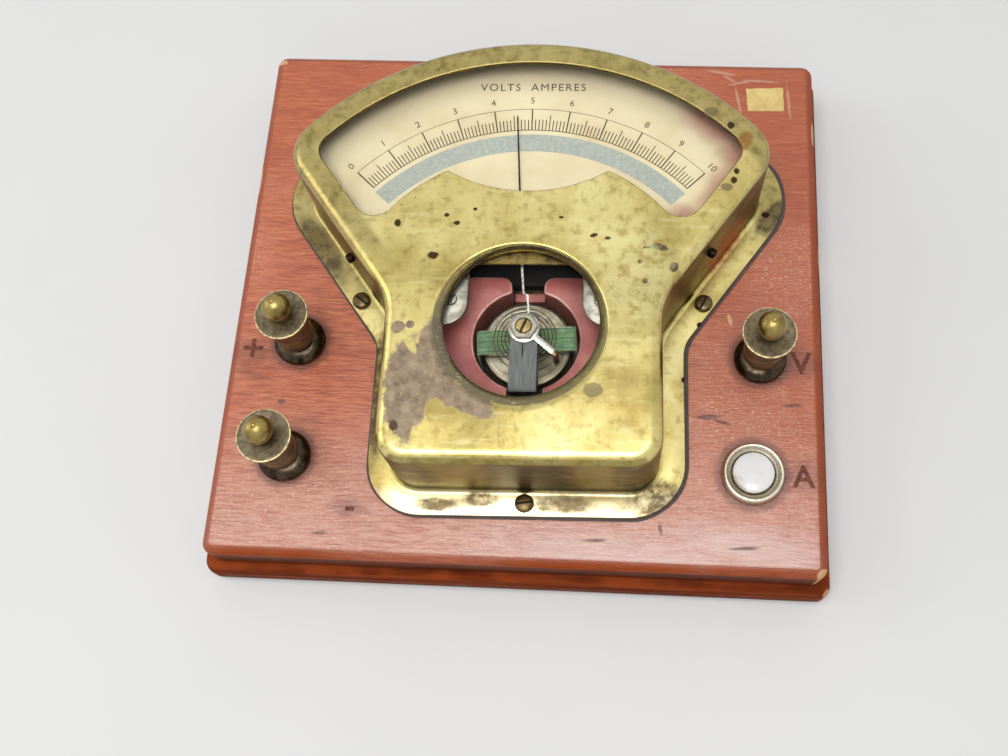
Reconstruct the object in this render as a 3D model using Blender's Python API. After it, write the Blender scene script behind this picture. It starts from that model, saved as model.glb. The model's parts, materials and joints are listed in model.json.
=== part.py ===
"""Bench volt-ammeter: a moving-coil meter under a brass cover on a wooden base.

Lengths are metres and +Z is up. The reader stands on the -Y side.
The instrument is laid out from its pivot axis, with heights from the top of the wood.
"""
import math

import bpy
import bmesh
from mathutils import Matrix, Vector

# Clearances
REST_GAP = 0.0003
WIRE_GAP = 0.00008
THREAD_PLAY = 0.0003
CUT_OVERRUN = 0.001

# Wooden base
BOARD_LENGTH = 0.178
BOARD_DEPTH = 0.1681
BOARD_THICKNESS = 0.012
BOARD_ROUND = 0.0033
BOARD_CORNER_RADIUS = 0.0036
PLINTH_OUT = 0.0032
PLINTH_STEP_OUT = 0.00145
PLINTH_SETBACK = 0.00105
PLINTH_COVE_HEIGHT = 0.0007
PLINTH_ROUND_HEIGHT = 0.0058
PLINTH_HEIGHT = 0.0101
PLINTH_FRAME_WIDTH = 0.011
PLINTH_RABBET = 0.0019
PLINTH_CORNER_RADIUS = 0.0035
INNER_CORNER_RADIUS = 0.0015
BOTTOM_PLATE_STAND = 0.0016
BOTTOM_PLATE_THICKNESS = 0.0032
BOTTOM_SCREW_SIDE_INSET = 0.0055
BOTTOM_SCREW_FRONT_INSET = 0.00505
BOTTOM_SCREW_HEAD_RADIUS = 0.0026
BOTTOM_SCREW_SHANK_RADIUS = 0.0010
BOTTOM_SCREW_LENGTH = 0.0068
BOTTOM_SCREW_LIFT = 0.0003
BOTTOM_SCREW_SINK_HIGH = 0.0022

WOOD_TOP = BOTTOM_PLATE_STAND + PLINTH_HEIGHT + REST_GAP + BOARD_THICKNESS

# Where the instrument stands on the base
PIVOT_X = 0.002212
PIVOT_Y = -0.022123
INSTRUMENT_YAW_DEG = 1.343

# Pocket in the board for the movement
POCKET_HALF_WIDTH = 0.033
POCKET_FRONT_Y = -0.0385
POCKET_BACK_Y = 0.024
LEDGE_DEPTH = 0.0055
LEDGE_WIDTH = 0.005

# Brass cover
COVER_TOP = 0.032
COVER_SHEET = 0.001
COVER_EDGE_RADIUS = 0.0035
COVER_FRONT_Y = -0.0408
COVER_HALF_WIDTH = 0.0382
COVER_FRONT_RADIUS = 0.0085
NECK_Y = 0.00623
NECK_RADIUS = 0.018
SLANT_DEG = 54.03
COVER_BACK_RADIUS = 0.090
COVER_BACK_FILLET = 0.012
FLANGE_WIDTH = 0.0075
FLANGE_THICKNESS = 0.0009
FLANGE_FILLET = 0.001
GASKET_THICKNESS = 0.0006
GASKET_SHOW = 0.0009
GASKET_SHIFT_X = 0.0003
GASKET_INSET = 0.0025

# Window over the scale
WINDOW_INSET = 0.0077
WINDOW_BACK_RADIUS = 0.082
WINDOW_BACK_FILLET = 0.006
WINDOW_FRONT_RADIUS = 0.051
WINDOW_LOBE_FILLET = 0.0063
WINDOW_MIDDLE_RADIUS = 0.0436
WINDOW_MIDDLE_Y = 0.0826

# Round opening over the movement
RIM_RADIUS = 0.0240
RIM_X = -0.0006
RIM_Y = -0.0018
LIP_RADIUS = 0.0216
LIP_X = -0.0005
LIP_Y = 0.0
LIP_LOW = 0.0284
LIP_HIGH = 0.0290
DISH_MIDDLE_SHARE = 0.62
DISH_BULGE = 0.0003

# Screws and holes of the cover
FLANGE_SCREW_X = 0.0518
FLANGE_SCREW_Y = 0.0174
FRONT_SCREW_X = 0.0001
FRONT_SCREW_Y = -0.0446
FLANGE_SCREW_HEAD_RADIUS = 0.00275
FLANGE_SCREW_HEAD_HEIGHT = 0.0016
FLANGE_SCREW_SHANK_RADIUS = 0.00095
FLANGE_SCREW_LENGTH = 0.0085
FLANGE_SCREW_SLOTS_DEG = (62.0, -38.0, 8.0)
SCREW_SLOT_WIDTH = 0.0006
SCREW_SLOT_DEPTH = 0.0006
SIDE_SCREW_1_DISTANCE = 0.0231
SIDE_SCREW_2_DISTANCE = 0.0204
SIDE_SCREW_HEIGHT = 0.0226
SIDE_SCREW_HEAD_RADIUS = 0.00145
SIDE_SCREW_HEAD_HEIGHT = 0.0020
SIDE_SCREW_SHANK_RADIUS = 0.0008
SIDE_SCREW_LENGTH = 0.0030

# Glasses and what holds them
DIAL_GLASS_THICKNESS = 0.0012
DIAL_GLASS_INSET = 0.0045
DIAL_GLASS_FRONT_Y = 0.0242
MOVEMENT_GLASS_THICKNESS = 0.001
MOVEMENT_GLASS_RADIUS = 0.0248
MOVEMENT_GLASS_BACK_Y = 0.0236
STRAP_FRONT_Y = 0.0185
STRAP_BACK_Y = 0.026
STRAP_THICKNESS = 0.0008
STRAP_EAR_THICKNESS = 0.0012
STRAP_EAR_HALF_LENGTH = 0.0045
STRAP_EAR_LOW = 0.0196
STRAP_EAR_OVERLAP = 0.0004
PACKING_FRONT_Y = 0.0245
PACKING_BACK_Y = 0.0258
PACKING_HALF_LENGTH = 0.040
CLIP_HALF_WIDTH = 0.003
CLIP_BACK_Y = -0.0225
CLIP_RISER_Y = -0.0278
CLIP_FRONT_Y = -0.0330
CLIP_SHEET = 0.0006

# Scale plate and card
PLATE_LOW = 0.0234
PLATE_THICKNESS = 0.0008
PLATE_INSET = 0.0045
PLATE_BAY_Y = 0.0225
LUG_INNER_X = 0.0162
LUG_FRONT_Y = 0.0009
LUG_OUTER_X = 0.0285
LUG_OUTER_Y = 0.0140
LUG_CORNER_RADIUS = 0.007
LUG_SCREW_X = 0.0210
LUG_SCREW_Y = 0.0086
CARD_THICKNESS = 0.0003
CARD_INSET = 0.0055
CARD_FRONT_Y = 0.0268
CARD_GAP = 0.0001
SCALE_SCREW_HEAD_RADIUS = 0.0019
SCALE_SCREW_HEAD_HEIGHT = 0.0009
SCALE_SCREW_SHANK_RADIUS = 0.0009
SCALE_SCREW_LENGTH = 0.005
SCALE_SCREW_SLOTS_DEG = (25.0, 110.0)
INNER_PILLAR_RADIUS = 0.0024
INNER_PILLAR_BORE_DEPTH = 0.005
OUTER_PILLAR_RADIUS = 0.0024
OUTER_PILLAR_X = 0.052
OUTER_PILLAR_Y = 0.042

# Magnet, core and what carries them
MOVEMENT_PLATE_LOW = -0.0052
MOVEMENT_PLATE_THICKNESS = 0.0025
MOVEMENT_PLATE_MARGIN = 0.0006
MOVEMENT_SCREW_X = 0.0304
MOVEMENT_SCREW_BACK_Y = 0.0213
MOVEMENT_SCREW_FRONT_Y = -0.0358
MOVEMENT_SCREW_SHANK_RADIUS = 0.0008
MOVEMENT_SCREW_LENGTH = 0.0065
MAGNET_HEIGHT = 0.018
MAGNET_HALF_WIDTH = 0.030
MAGNET_BACK_Y = 0.0196
MAGNET_ARCH_Y = -0.006
MAGNET_BORE_RADIUS = 0.0153
MAGNET_GAP_HALF = 0.00465
MAGNET_SLOT_HALF = 0.005
MAGNET_SLOT_Y = -0.021
MAGNET_OUTER_FILLET = 0.003
MAGNET_TIP_FILLET = 0.0031
MAGNET_BORE_FILLET = 0.0009
MAGNET_BORE_EDGE_DEG = 12.0
MAGNET_EDGE = 0.0005
SPACER_HALF_WIDTH = 0.00435
SPACER_FRONT_Y = 0.0152
SPACER_BACK_Y = 0.0178
SPACER_LOW = -0.0024
SPACER_HIGH = 0.0075
CORE_RADIUS = 0.013
CORE_LOW = 0.0026
CORE_HIGH = 0.012
CORE_EDGE = 0.0004
CORE_PILLAR_RADIUS = 0.0014
CORE_PILLAR_Y = 0.010
BRACKET_THICKNESS = 0.0004
BRACKET_HALF_WIDTH = 0.0032
BRACKET_MARGIN = 0.0008
BRACKET_OVERLAP = 0.0002

# Moving coil
READING_TURN_DEG = 3.66
COIL_INNER_HALF_WIDTH = 0.0133
COIL_SIDE_THICKNESS = 0.00035
COIL_INNER_LOW = 0.0014
COIL_INNER_HIGH = 0.0135
COIL_END_THICKNESS = 0.00125
COIL_HALF_DEPTH = 0.0037
COIL_CORNER_RADIUS = 0.0006
COIL_INNER_CORNER_RADIUS = 0.0003
COIL_WIRE_RADIUS = 0.00031
COIL_WIRE_PITCH = 0.00105
COIL_LOOPS = 7
COIL_CORNER_POINTS = 4
COIL_EDGE_POINTS = 2

# Staffs, pointer and springs
STAFF_SEAT_RADIUS = 0.003
STAFF_SEAT_THICKNESS = 0.0004
COLLET_RADIUS = 0.002
COLLET_HIGH = 0.0183
STAFF_RADIUS = 0.0009
STAFF_HIGH = 0.0200
PIVOT_RADIUS = 0.00035
PIVOT_HIGH = 0.0209
LOWER_SEAT_RADIUS = 0.0026
LOWER_SEAT_THICKNESS = 0.0003
LOWER_COLLET_RADIUS = 0.0016
LOWER_COLLET_LOW = -0.0020
LOWER_PIVOT_LOW = -0.0026
POINTER_COLLAR_RADIUS = 0.0021
POINTER_COLLAR_LOW = 0.0190
POINTER_THICKNESS = 0.0003
POINTER_COLLAR_THICKNESS = 0.0006
POINTER_JOG = 0.0011
POINTER_JOG_RADIUS = 0.0114
POINTER_ROOT_HALF_WIDTH = 0.0003
POINTER_BLADE_HALF_WIDTH = 0.00026
POINTER_TIP_HALF_WIDTH = 0.00018
POINTER_UNDER_BAR_Y = 0.0052
POINTER_JOG_HEIGHT = 0.0216
POINTER_LEVEL_Y = 0.0175
POINTER_LEVEL = 0.0254
POINTER_LENGTH = 0.0678
TAIL_LENGTH = 0.0081
TAIL_HALF_WIDTH = 0.0004
WEIGHT_Y = -0.0064
WEIGHT_HALF_WIDTH = 0.0011
WEIGHT_HALF_LENGTH = 0.0008
WEIGHT_HALF_HEIGHT = 0.0008
WEIGHT_BORE_HALF_WIDTH = 0.0007
WEIGHT_BORE_HALF_HEIGHT = 0.00042
HAIRSPRING_WIRE_RADIUS = 0.000175
HAIRSPRING_PITCH = 0.00105
HAIRSPRING_INNER_RADIUS = 0.0028
HAIRSPRING_TURNS = 6
HAIRSPRING_HEIGHT = 0.0172
HAIRSPRING_END_RADIUS = 0.0108
LOWER_SPRING_INNER_RADIUS = 0.0021
LOWER_SPRING_TURNS = 4
LOWER_SPRING_HEIGHT = -0.00162
LOWER_SPRING_END_RADIUS = 0.0089
LOWER_ANCHOR_REACH = 0.0098
LOWER_ANCHOR_DEG = -45.0
LOWER_ANCHOR_RADIUS = 0.0006
LOWER_ANCHOR_HIGH = -0.0010
CURL_POINTS = 10
WIRE_TURN_POINTS = 8
SPRING_END_POINTS = 4

# Bridge, jewel screws and zero lever
BRIDGE_HALF_WIDTH = 0.0039
BRIDGE_BACK_Y = 0.0044
BRIDGE_FRONT_Y = -0.0185
BRIDGE_LEG_Y = -0.0142
BRIDGE_GUSSET_Y = -0.0098
BRIDGE_GUSSET_LOW = 0.0172
BRIDGE_LOW = 0.0215
BRIDGE_HIGH = 0.024
BRIDGE_EDGE = 0.0002
BRIDGE_SLIT_X = -0.0002
BRIDGE_SLIT_HALF_WIDTH = 0.00016
BRIDGE_SLIT_BACK_Y = -0.0035
BRIDGE_SLIT_FRONT_Y = -0.0080
BRIDGE_SCREW_Y = -0.01635
BRIDGE_SCREW_SHANK_RADIUS = 0.0010
BRIDGE_SCREW_HEAD_RADIUS = 0.0020
BRIDGE_SCREW_HEAD_HEIGHT = 0.0013
BRIDGE_SCREW_HIGH = 0.004
JEWEL_RADIUS = 0.0022
JEWEL_LOW = 0.0203
JEWEL_HIGH = 0.0266
JEWEL_CUP_RADIUS = 0.0007
JEWEL_CUP_HIGH = 0.0213
JEWEL_EDGE = 0.0003
JEWEL_SLOT_DEG = 68.0
LOWER_JEWEL_RADIUS = 0.002
LOWER_JEWEL_LOW = -0.0072
LOWER_JEWEL_HIGH = -0.00235
LOWER_CUP_LOW = -0.0030
NUT_ACROSS_FLATS = 0.007
NUT_LOW = 0.0252
NUT_HIGH = 0.0262
LEVER_LOW = 0.0243
LEVER_HIGH = 0.0249
LEVER_RING_RADIUS = 0.0044
LEVER_DEG = -40.6
LEVER_ARM_HALF_WIDTH = 0.0009
LEVER_REACH = 0.0123
LEVER_LEG_NEAR = 0.0116
LEVER_LEG_FAR = 0.0122
LEVER_LEG_HALF_WIDTH = 0.0008
LEVER_LEG_LOW = 0.0168
LEVER_LEG_OVERLAP = 0.0003

# Binding posts
POST_LEFT_INSET = 0.0214
POST_RIGHT_INSET = 0.0186
POST_1_FRONT_INSET = 0.06505
POST_2_FRONT_INSET = 0.02915
POST_3_FRONT_INSET = 0.06395
POST_FOOT_RADIUS = 0.00775
POST_FOOT_HEIGHT = 0.0045
POST_FOOT_SHARES = (
    (0.96, 0.0), (1.0, 0.10), (1.0, 0.28), (0.93, 0.48), (0.78, 0.66),
    (0.60, 0.76), (0.47, 0.84), (0.45, 1.0),
)
STUD_RADIUS = 0.0019
STUD_HIGH = 0.017
STUD_LOW = -0.0186
STUD_HOLE_RADIUS = 0.0023
POST_WASHER_RADIUS = 0.0046
POST_WASHER_THICKNESS = 0.0008
POST_NUT_RADIUS = 0.0077
POST_NUT_HEIGHT = 0.0157
POST_NUT_SHARES = (
    (0.70, 0.0), (0.745, 0.03), (0.745, 0.34), (0.68, 0.38), (0.74, 0.45),
    (0.76, 0.62), (0.82, 0.84), (0.97, 0.93), (1.0, 0.97), (0.97, 1.0), (0.36, 0.975),
)
POST_BALL_RADIUS = 0.00405
POST_BALL_HEIGHT = 0.0267
POST_BALL_NECK_DEG = -56.0
POST_BALL_STEPS = 6
POST_DIMPLE_RADIUS = 0.0007
POST_DIMPLE_DEPTH = 0.0004
POST_BORE_HIGH = 0.018
STRIP_THICKNESS = 0.0008
STRIP_HALF_WIDTH = 0.004

# Push button
BUTTON_RIGHT_INSET = 0.0209
BUTTON_FRONT_INSET = 0.02895
BUTTON_HOLE_RADIUS = 0.0073
BUTTON_RING_RADIUS = 0.00915
BUTTON_RING_HEIGHT = 0.0022
BUTTON_RING_SHARES = ((1.0, 0.0), (1.0, 0.35), (0.955, 0.75), (0.89, 1.0), (0.835, 0.93), (0.70, 0.45))
BUTTON_BARREL_RADIUS = 0.007
BUTTON_BORE_RADIUS = 0.0063
BUTTON_FLOOR_HIGH = -0.009
BUTTON_FLOOR_LOW = -0.010
BUTTON_STEM_HOLE_RADIUS = 0.0020
BUTTON_CAP_RADIUS = 0.0059
BUTTON_CAP_LOW = -0.0016
BUTTON_CAP_SIDE = 0.0022
BUTTON_CAP_HIGH = 0.0028
BUTTON_CAP_EDGE = 0.0005
BUTTON_STEM_RADIUS = 0.0015
BUTTON_STEM_LOW = -0.0112
BUTTON_TRAVEL = 0.0022
BUTTON_SPRING_RADIUS = 0.0042
BUTTON_SPRING_WIRE_RADIUS = 0.0003
BUTTON_SPRING_TURNS = 4.5
CONTACT_CLEARANCE = 0.0002
CONTACT_THICKNESS = 0.0005
CONTACT_HALF_WIDTH = 0.003
CONTACT_FRONT_REACH = 0.004
CONTACT_BACK_REACH = 0.0225
BLOCK_HALF_WIDTH = 0.004
BLOCK_NEAR = 0.0125
BLOCK_FAR = 0.0225

# Series resistor
SPOOL_RIGHT_INSET = 0.049
SPOOL_Y = 0.020
SPOOL_CHEEK_RADIUS = 0.0036
SPOOL_BODY_RADIUS = 0.0021
SPOOL_HALF_LENGTH = 0.0125
SPOOL_CHEEK_THICKNESS = 0.001
SPOOL_WIRE_RADIUS = 0.0005
SPOOL_WIRE_PITCH = 0.0017
SPOOL_LOOPS = 12

# Fineness
CORNER_STEPS = 3
NECK_STEPS = 4
BACK_FILLET_STEPS = 5
BACK_ARC_STEPS = 9
EDGE_STEPS = 3
OPENING_STEPS = 32
WINDOW_ARC_STEPS = 7
CORE_STEPS = 32
BORE_STEPS = 12
ARCH_STEPS = 16
POST_STEPS = 18
FOOT_STEPS = 16
BUTTON_STEPS = 24
ROUND_STEPS = 12
FINE_STEPS = 8
SHARP_DEG = 32.0
TUBE_FACES = 1


# Shapes

def polar(radius, degrees):
    return radius * math.cos(math.radians(degrees)), radius * math.sin(math.radians(degrees))


def arc(centre, radius, start_deg, end_deg, steps):
    turn = (end_deg - start_deg) / steps
    points = []
    for step in range(steps + 1):
        x, y = polar(radius, start_deg + turn * step)
        points.append((centre[0] + x, centre[1] + y))
    return points


def circle(centre, radius, steps):
    return arc(centre, radius, 0.0, 360.0, steps)[:-1]


def rounded(corners, steps, is_open=False):
    """Points round a list of (x, y, radius) corners."""
    points = []
    count = len(corners)
    for index, (x, y, radius) in enumerate(corners):
        if radius == 0.0 or (is_open and index in (0, count - 1)):
            points.append((x, y))
            continue
        here = Vector((x, y))
        back = (Vector(corners[index - 1][:2]) - here).normalized()
        ahead = (Vector(corners[(index + 1) % count][:2]) - here).normalized()
        half = back.angle(ahead) / 2.0
        centre = here + (back + ahead).normalized() * (radius / math.sin(half))
        first = here + back * (radius / math.tan(half)) - centre
        last = here + ahead * (radius / math.tan(half)) - centre
        begin = math.degrees(math.atan2(first.y, first.x))
        sweep = math.degrees(math.atan2(last.y, last.x)) - begin
        sweep = (sweep + 180.0) % 360.0 - 180.0
        points.extend(arc(centre, radius, begin, begin + sweep, steps))
    return points


def rectangle(half_x, half_y, radius, steps):
    corners = ((half_x, half_y), (-half_x, half_y), (-half_x, -half_y), (half_x, -half_y))
    return rounded([(x, y, radius) for x, y in corners], steps)


def offset(outline, distance):
    """The same outline moved outwards by a distance, point for point."""
    moved = []
    count = len(outline)
    for index, here in enumerate(outline):
        before = (Vector(here) - Vector(outline[index - 1])).normalized()
        after = (Vector(outline[(index + 1) % count]) - Vector(here)).normalized()
        side = Vector((before.y + after.y, -before.x - after.x))
        side *= distance / (1.0 + before.dot(after))
        moved.append((here[0] + side.x, here[1] + side.y))
    return moved


def mirrored(half):
    """A whole outline from its right half, which starts and ends on the middle line."""
    return half + [(-x, y) for x, y in reversed(half[1:-1])]


def at_height(outline, z):
    return [(x, y, z) for x, y in outline]


def loft(bm, rings, is_loop=False, place=Matrix()):
    rows = [[bm.verts.new(place @ Vector(point)) for point in ring] for ring in rings]
    pairs = list(zip(rows, rows[1:]))
    if is_loop:
        pairs.append((rows[-1], rows[0]))
    else:
        bm.faces.new(rows[0])
        bm.faces.new(rows[-1])
    for low, high in pairs:
        for index in range(len(low)):
            after = (index + 1) % len(low)
            bm.faces.new((low[index], low[after], high[after], high[index]))


def slab(bm, outline, low, high, edge=0.0, place=Matrix()):
    if edge == 0.0:
        loft(bm, [at_height(outline, low), at_height(outline, high)], place=place)
        return
    small = offset(outline, -edge)
    rings = [at_height(small, low), at_height(outline, low + edge)]
    rings += [at_height(outline, high - edge), at_height(small, high)]
    loft(bm, rings, place=place)


def box(bm, x0, x1, y0, y1, z0, z1, place=Matrix()):
    slab(bm, [(x0, y0), (x1, y0), (x1, y1), (x0, y1)], z0, z1, place=place)


def side_slab(bm, outline, x0, x1, edge=0.0):
    """A slab whose outline is drawn in Y and Z and which runs along X."""
    slab(bm, outline, x0, x1, edge, Matrix(((0, 0, 1, 0), (1, 0, 0, 0), (0, 1, 0, 0), (0, 0, 0, 1))))


def turned(bm, profile, steps, place=Matrix(), is_loop=False):
    """A turned solid from (radius, height) points, closed on the axis or round a hole."""
    rows = []
    for radius, z in profile:
        if radius == 0.0:
            rows.append([bm.verts.new(place @ Vector((0.0, 0.0, z)))])
        else:
            ring = circle((0.0, 0.0), radius, steps)
            rows.append([bm.verts.new(place @ Vector((x, y, z))) for x, y in ring])
    pairs = list(zip(rows, rows[1:]))
    if is_loop:
        pairs.append((rows[-1], rows[0]))
    for low, high in pairs:
        for index in range(steps):
            after = (index + 1) % steps
            if len(low) == 1:
                bm.faces.new((low[0], high[after], high[index]))
            elif len(high) == 1:
                bm.faces.new((low[index], low[after], high[0]))
            else:
                bm.faces.new((low[index], low[after], high[after], high[index]))


def rod(bm, radius, low, high, steps, place=Matrix()):
    turned(bm, [(0.0, low), (radius, low), (radius, high), (0.0, high)], steps, place)


def ring(bm, inner, outer, low, high, steps, place=Matrix()):
    turned(bm, [(inner, low), (outer, low), (outer, high), (inner, high)], steps, place, True)


def hexagon(across_flats):
    return circle((0.0, 0.0), across_flats / math.sqrt(3.0), 6)


def at(x, y, z=0.0):
    return Matrix.Translation((x, y, z))


def turn_z(degrees):
    return Matrix.Rotation(math.radians(degrees), 4, "Z")


def shares_profile(shares, radius, low, height):
    return [(radius * across, low + height * up) for across, up in shares]


# Objects

def clear_scene():
    for obj in list(bpy.data.objects):
        bpy.data.objects.remove(obj, do_unlink=True)


def empty(name, place):
    frame = bpy.data.objects.new(name, None)
    bpy.context.scene.collection.objects.link(frame)
    frame.matrix_world = place
    return frame


def link(name, data, frame):
    obj = bpy.data.objects.new(name, data)
    bpy.context.scene.collection.objects.link(obj)
    obj.parent = frame
    return obj


def solid(name, bm, shade, frame, is_round=False):
    bmesh.ops.recalc_face_normals(bm, faces=bm.faces)
    mesh = bpy.data.meshes.new(name)
    bm.to_mesh(mesh)
    bm.free()
    mesh.materials.append(shade)
    if is_round:
        mesh.shade_smooth()
        mesh.set_sharp_from_angle(angle=math.radians(SHARP_DEG))
    return link(name, mesh, frame)


def tool(name, bm, frame):
    """A hidden shape that a Boolean uses."""
    bmesh.ops.recalc_face_normals(bm, faces=bm.faces)
    mesh = bpy.data.meshes.new(name)
    bm.to_mesh(mesh)
    bm.free()
    obj = link(name, mesh, frame)
    obj.hide_render = True
    obj.display_type = "WIRE"
    return obj


def boolean(obj, other, operation):
    modifier = obj.modifiers.new(other.name, "BOOLEAN")
    modifier.operation = operation
    modifier.solver = "EXACT"
    modifier.object = other


def cut(obj, other):
    boolean(obj, other, "DIFFERENCE")


def join(obj, other):
    boolean(obj, other, "UNION")


def tube(name, paths, radius, shade, frame):
    curve = bpy.data.curves.new(name, "CURVE")
    curve.dimensions = "3D"
    curve.bevel_depth = radius
    curve.bevel_resolution = TUBE_FACES
    curve.use_fill_caps = True
    for path in paths:
        spline = curve.splines.new("POLY")
        spline.points.add(len(path) - 1)
        for point, place in zip(spline.points, path):
            point.co = (*place, 1.0)
    curve.materials.append(shade)
    return link(name, curve, frame)


def print_least_gap(name, path, radius, turn_points):
    least = min(
        (Vector(a) - Vector(b)).length
        for index, a in enumerate(path)
        for b in path[index + turn_points // 2 + 1:]
    )
    print(f"{name}: least gap to itself {1000.0 * (least - 2.0 * radius):.2f} mm")


# Materials

def principled(name, colour, metallic, roughness):
    shade = bpy.data.materials.new(name)
    shade.use_nodes = True
    shader = shade.node_tree.nodes["Principled BSDF"]
    shader.inputs["Base Color"].default_value = (*colour, 1.0)
    shader.inputs["Metallic"].default_value = metallic
    shader.inputs["Roughness"].default_value = roughness
    return shade


def red_wood():
    return principled("red_wood", (0.42, 0.10, 0.05), 0.0, 0.40)


def plinth_wood():
    return principled("plinth_wood", (0.30, 0.08, 0.04), 0.0, 0.45)


def black_board():
    return principled("black_board", (0.02, 0.02, 0.02), 0.0, 0.70)


def felt():
    return principled("felt", (0.10, 0.07, 0.09), 0.0, 0.95)


def cover_brass():
    return principled("cover_brass", (0.66, 0.56, 0.26), 1.0, 0.38)


def inner_brass():
    return principled("inner_brass", (0.60, 0.48, 0.22), 1.0, 0.35)


def post_brass():
    return principled("post_brass", (0.42, 0.34, 0.18), 1.0, 0.35)


def dark_brass():
    return principled("dark_brass", (0.16, 0.14, 0.11), 1.0, 0.45)


def clear_glass():
    return principled("clear_glass", (0.95, 0.98, 0.97), 0.0, 0.02)


def cork():
    return principled("cork", (0.40, 0.28, 0.18), 0.0, 0.90)


def grey_metal():
    return principled("grey_metal", (0.45, 0.44, 0.42), 1.0, 0.40)


def cream_card():
    return principled("cream_card", (0.86, 0.80, 0.62), 0.0, 0.80)


def red_enamel():
    return principled("red_enamel", (0.45, 0.10, 0.09), 0.0, 0.35)


def turned_iron():
    return principled("turned_iron", (0.50, 0.47, 0.40), 1.0, 0.42)


def former_metal():
    return principled("former_metal", (0.62, 0.62, 0.62), 1.0, 0.40)


def green_silk():
    return principled("green_silk", (0.16, 0.32, 0.14), 0.0, 0.75)


def bright_steel():
    return principled("bright_steel", (0.70, 0.69, 0.66), 1.0, 0.25)


def pointer_metal():
    return principled("pointer_metal", (0.55, 0.55, 0.54), 1.0, 0.35)


def spring_bronze():
    return principled("spring_bronze", (0.45, 0.32, 0.18), 1.0, 0.30)


def black_bar():
    return principled("black_bar", (0.08, 0.08, 0.09), 0.0, 0.55)


def plated_ring():
    return principled("plated_ring", (0.62, 0.60, 0.54), 1.0, 0.28)


def white_button():
    return principled("white_button", (0.92, 0.91, 0.88), 0.0, 0.25)


def fibre():
    return principled("fibre", (0.28, 0.12, 0.08), 0.0, 0.65)


def spool_wood():
    return principled("spool_wood", (0.45, 0.30, 0.16), 0.0, 0.60)


def resistor_silk():
    return principled("resistor_silk", (0.30, 0.24, 0.10), 0.0, 0.75)


# Wooden base

def board_rings():
    half_x = BOARD_LENGTH / 2.0
    half_y = BOARD_DEPTH / 2.0
    outline = rectangle(half_x, half_y, BOARD_CORNER_RADIUS, CORNER_STEPS)
    rings = [at_height(outline, WOOD_TOP - BOARD_THICKNESS)]
    for step in range(EDGE_STEPS + 1):
        angle = math.radians(90.0 * step / EDGE_STEPS)
        inset = BOARD_ROUND * (1.0 - math.cos(angle))
        z = WOOD_TOP - BOARD_ROUND * (1.0 - math.sin(angle))
        rings.append(at_height(offset(outline, -inset), z))
    return rings


def base_board(frame):
    bm = bmesh.new()
    loft(bm, board_rings())
    board = solid("base_board", bm, red_wood(), None, True)
    cut(board, pocket_tool(frame))
    cut(board, ledge_tool(frame))
    cut(board, board_hole_tool())
    cut(board, board_screw_tool(frame))
    return board


def pocket_tool(frame):
    bm = bmesh.new()
    box(bm, -POCKET_HALF_WIDTH, POCKET_HALF_WIDTH, POCKET_FRONT_Y, POCKET_BACK_Y, -LEDGE_DEPTH, CUT_OVERRUN)
    return tool("pocket_tool", bm, frame)


def ledge_tool(frame):
    bm = bmesh.new()
    half = POCKET_HALF_WIDTH - LEDGE_WIDTH
    low = -BOARD_THICKNESS - CUT_OVERRUN
    high = -LEDGE_DEPTH + CUT_OVERRUN
    box(bm, -half, half, POCKET_FRONT_Y + LEDGE_WIDTH, POCKET_BACK_Y - LEDGE_WIDTH, low, high)
    return tool("ledge_tool", bm, frame)


def board_hole_tool():
    bm = bmesh.new()
    low = WOOD_TOP - BOARD_THICKNESS - CUT_OVERRUN
    high = WOOD_TOP + CUT_OVERRUN
    for x, y in post_places().values():
        rod(bm, STUD_HOLE_RADIUS, low, high, ROUND_STEPS, at(x, y))
    rod(bm, BUTTON_HOLE_RADIUS, low, high, BUTTON_STEPS, at(*button_centre()))
    return tool("board_hole_tool", bm, None)


def flange_screw_places():
    sides = [(x, FLANGE_SCREW_Y) for x in (FLANGE_SCREW_X, -FLANGE_SCREW_X)]
    return sides + [(FRONT_SCREW_X, FRONT_SCREW_Y)]


def movement_screw_places():
    ys = (MOVEMENT_SCREW_BACK_Y, MOVEMENT_SCREW_FRONT_Y)
    return [(x, y) for y in ys for x in (MOVEMENT_SCREW_X, -MOVEMENT_SCREW_X)]


def board_screw_tool(frame):
    bm = bmesh.new()
    radius = FLANGE_SCREW_SHANK_RADIUS + THREAD_PLAY
    for x, y in flange_screw_places():
        low = flange_screw_low() - REST_GAP
        rod(bm, radius, low, CUT_OVERRUN, FINE_STEPS, at(x, y))
    radius = MOVEMENT_SCREW_SHANK_RADIUS + THREAD_PLAY
    for x, y in movement_screw_places():
        low = magnet_low() - MOVEMENT_SCREW_LENGTH - REST_GAP
        rod(bm, radius, low, -LEDGE_DEPTH + CUT_OVERRUN, FINE_STEPS, at(x, y))
    return tool("board_screw_tool", bm, frame)


def plinth_ring(out, z, radius):
    half_x = BOARD_LENGTH / 2.0 + out
    half_y = BOARD_DEPTH / 2.0 + out
    return at_height(rectangle(half_x, half_y, radius, CORNER_STEPS), z)


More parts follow.
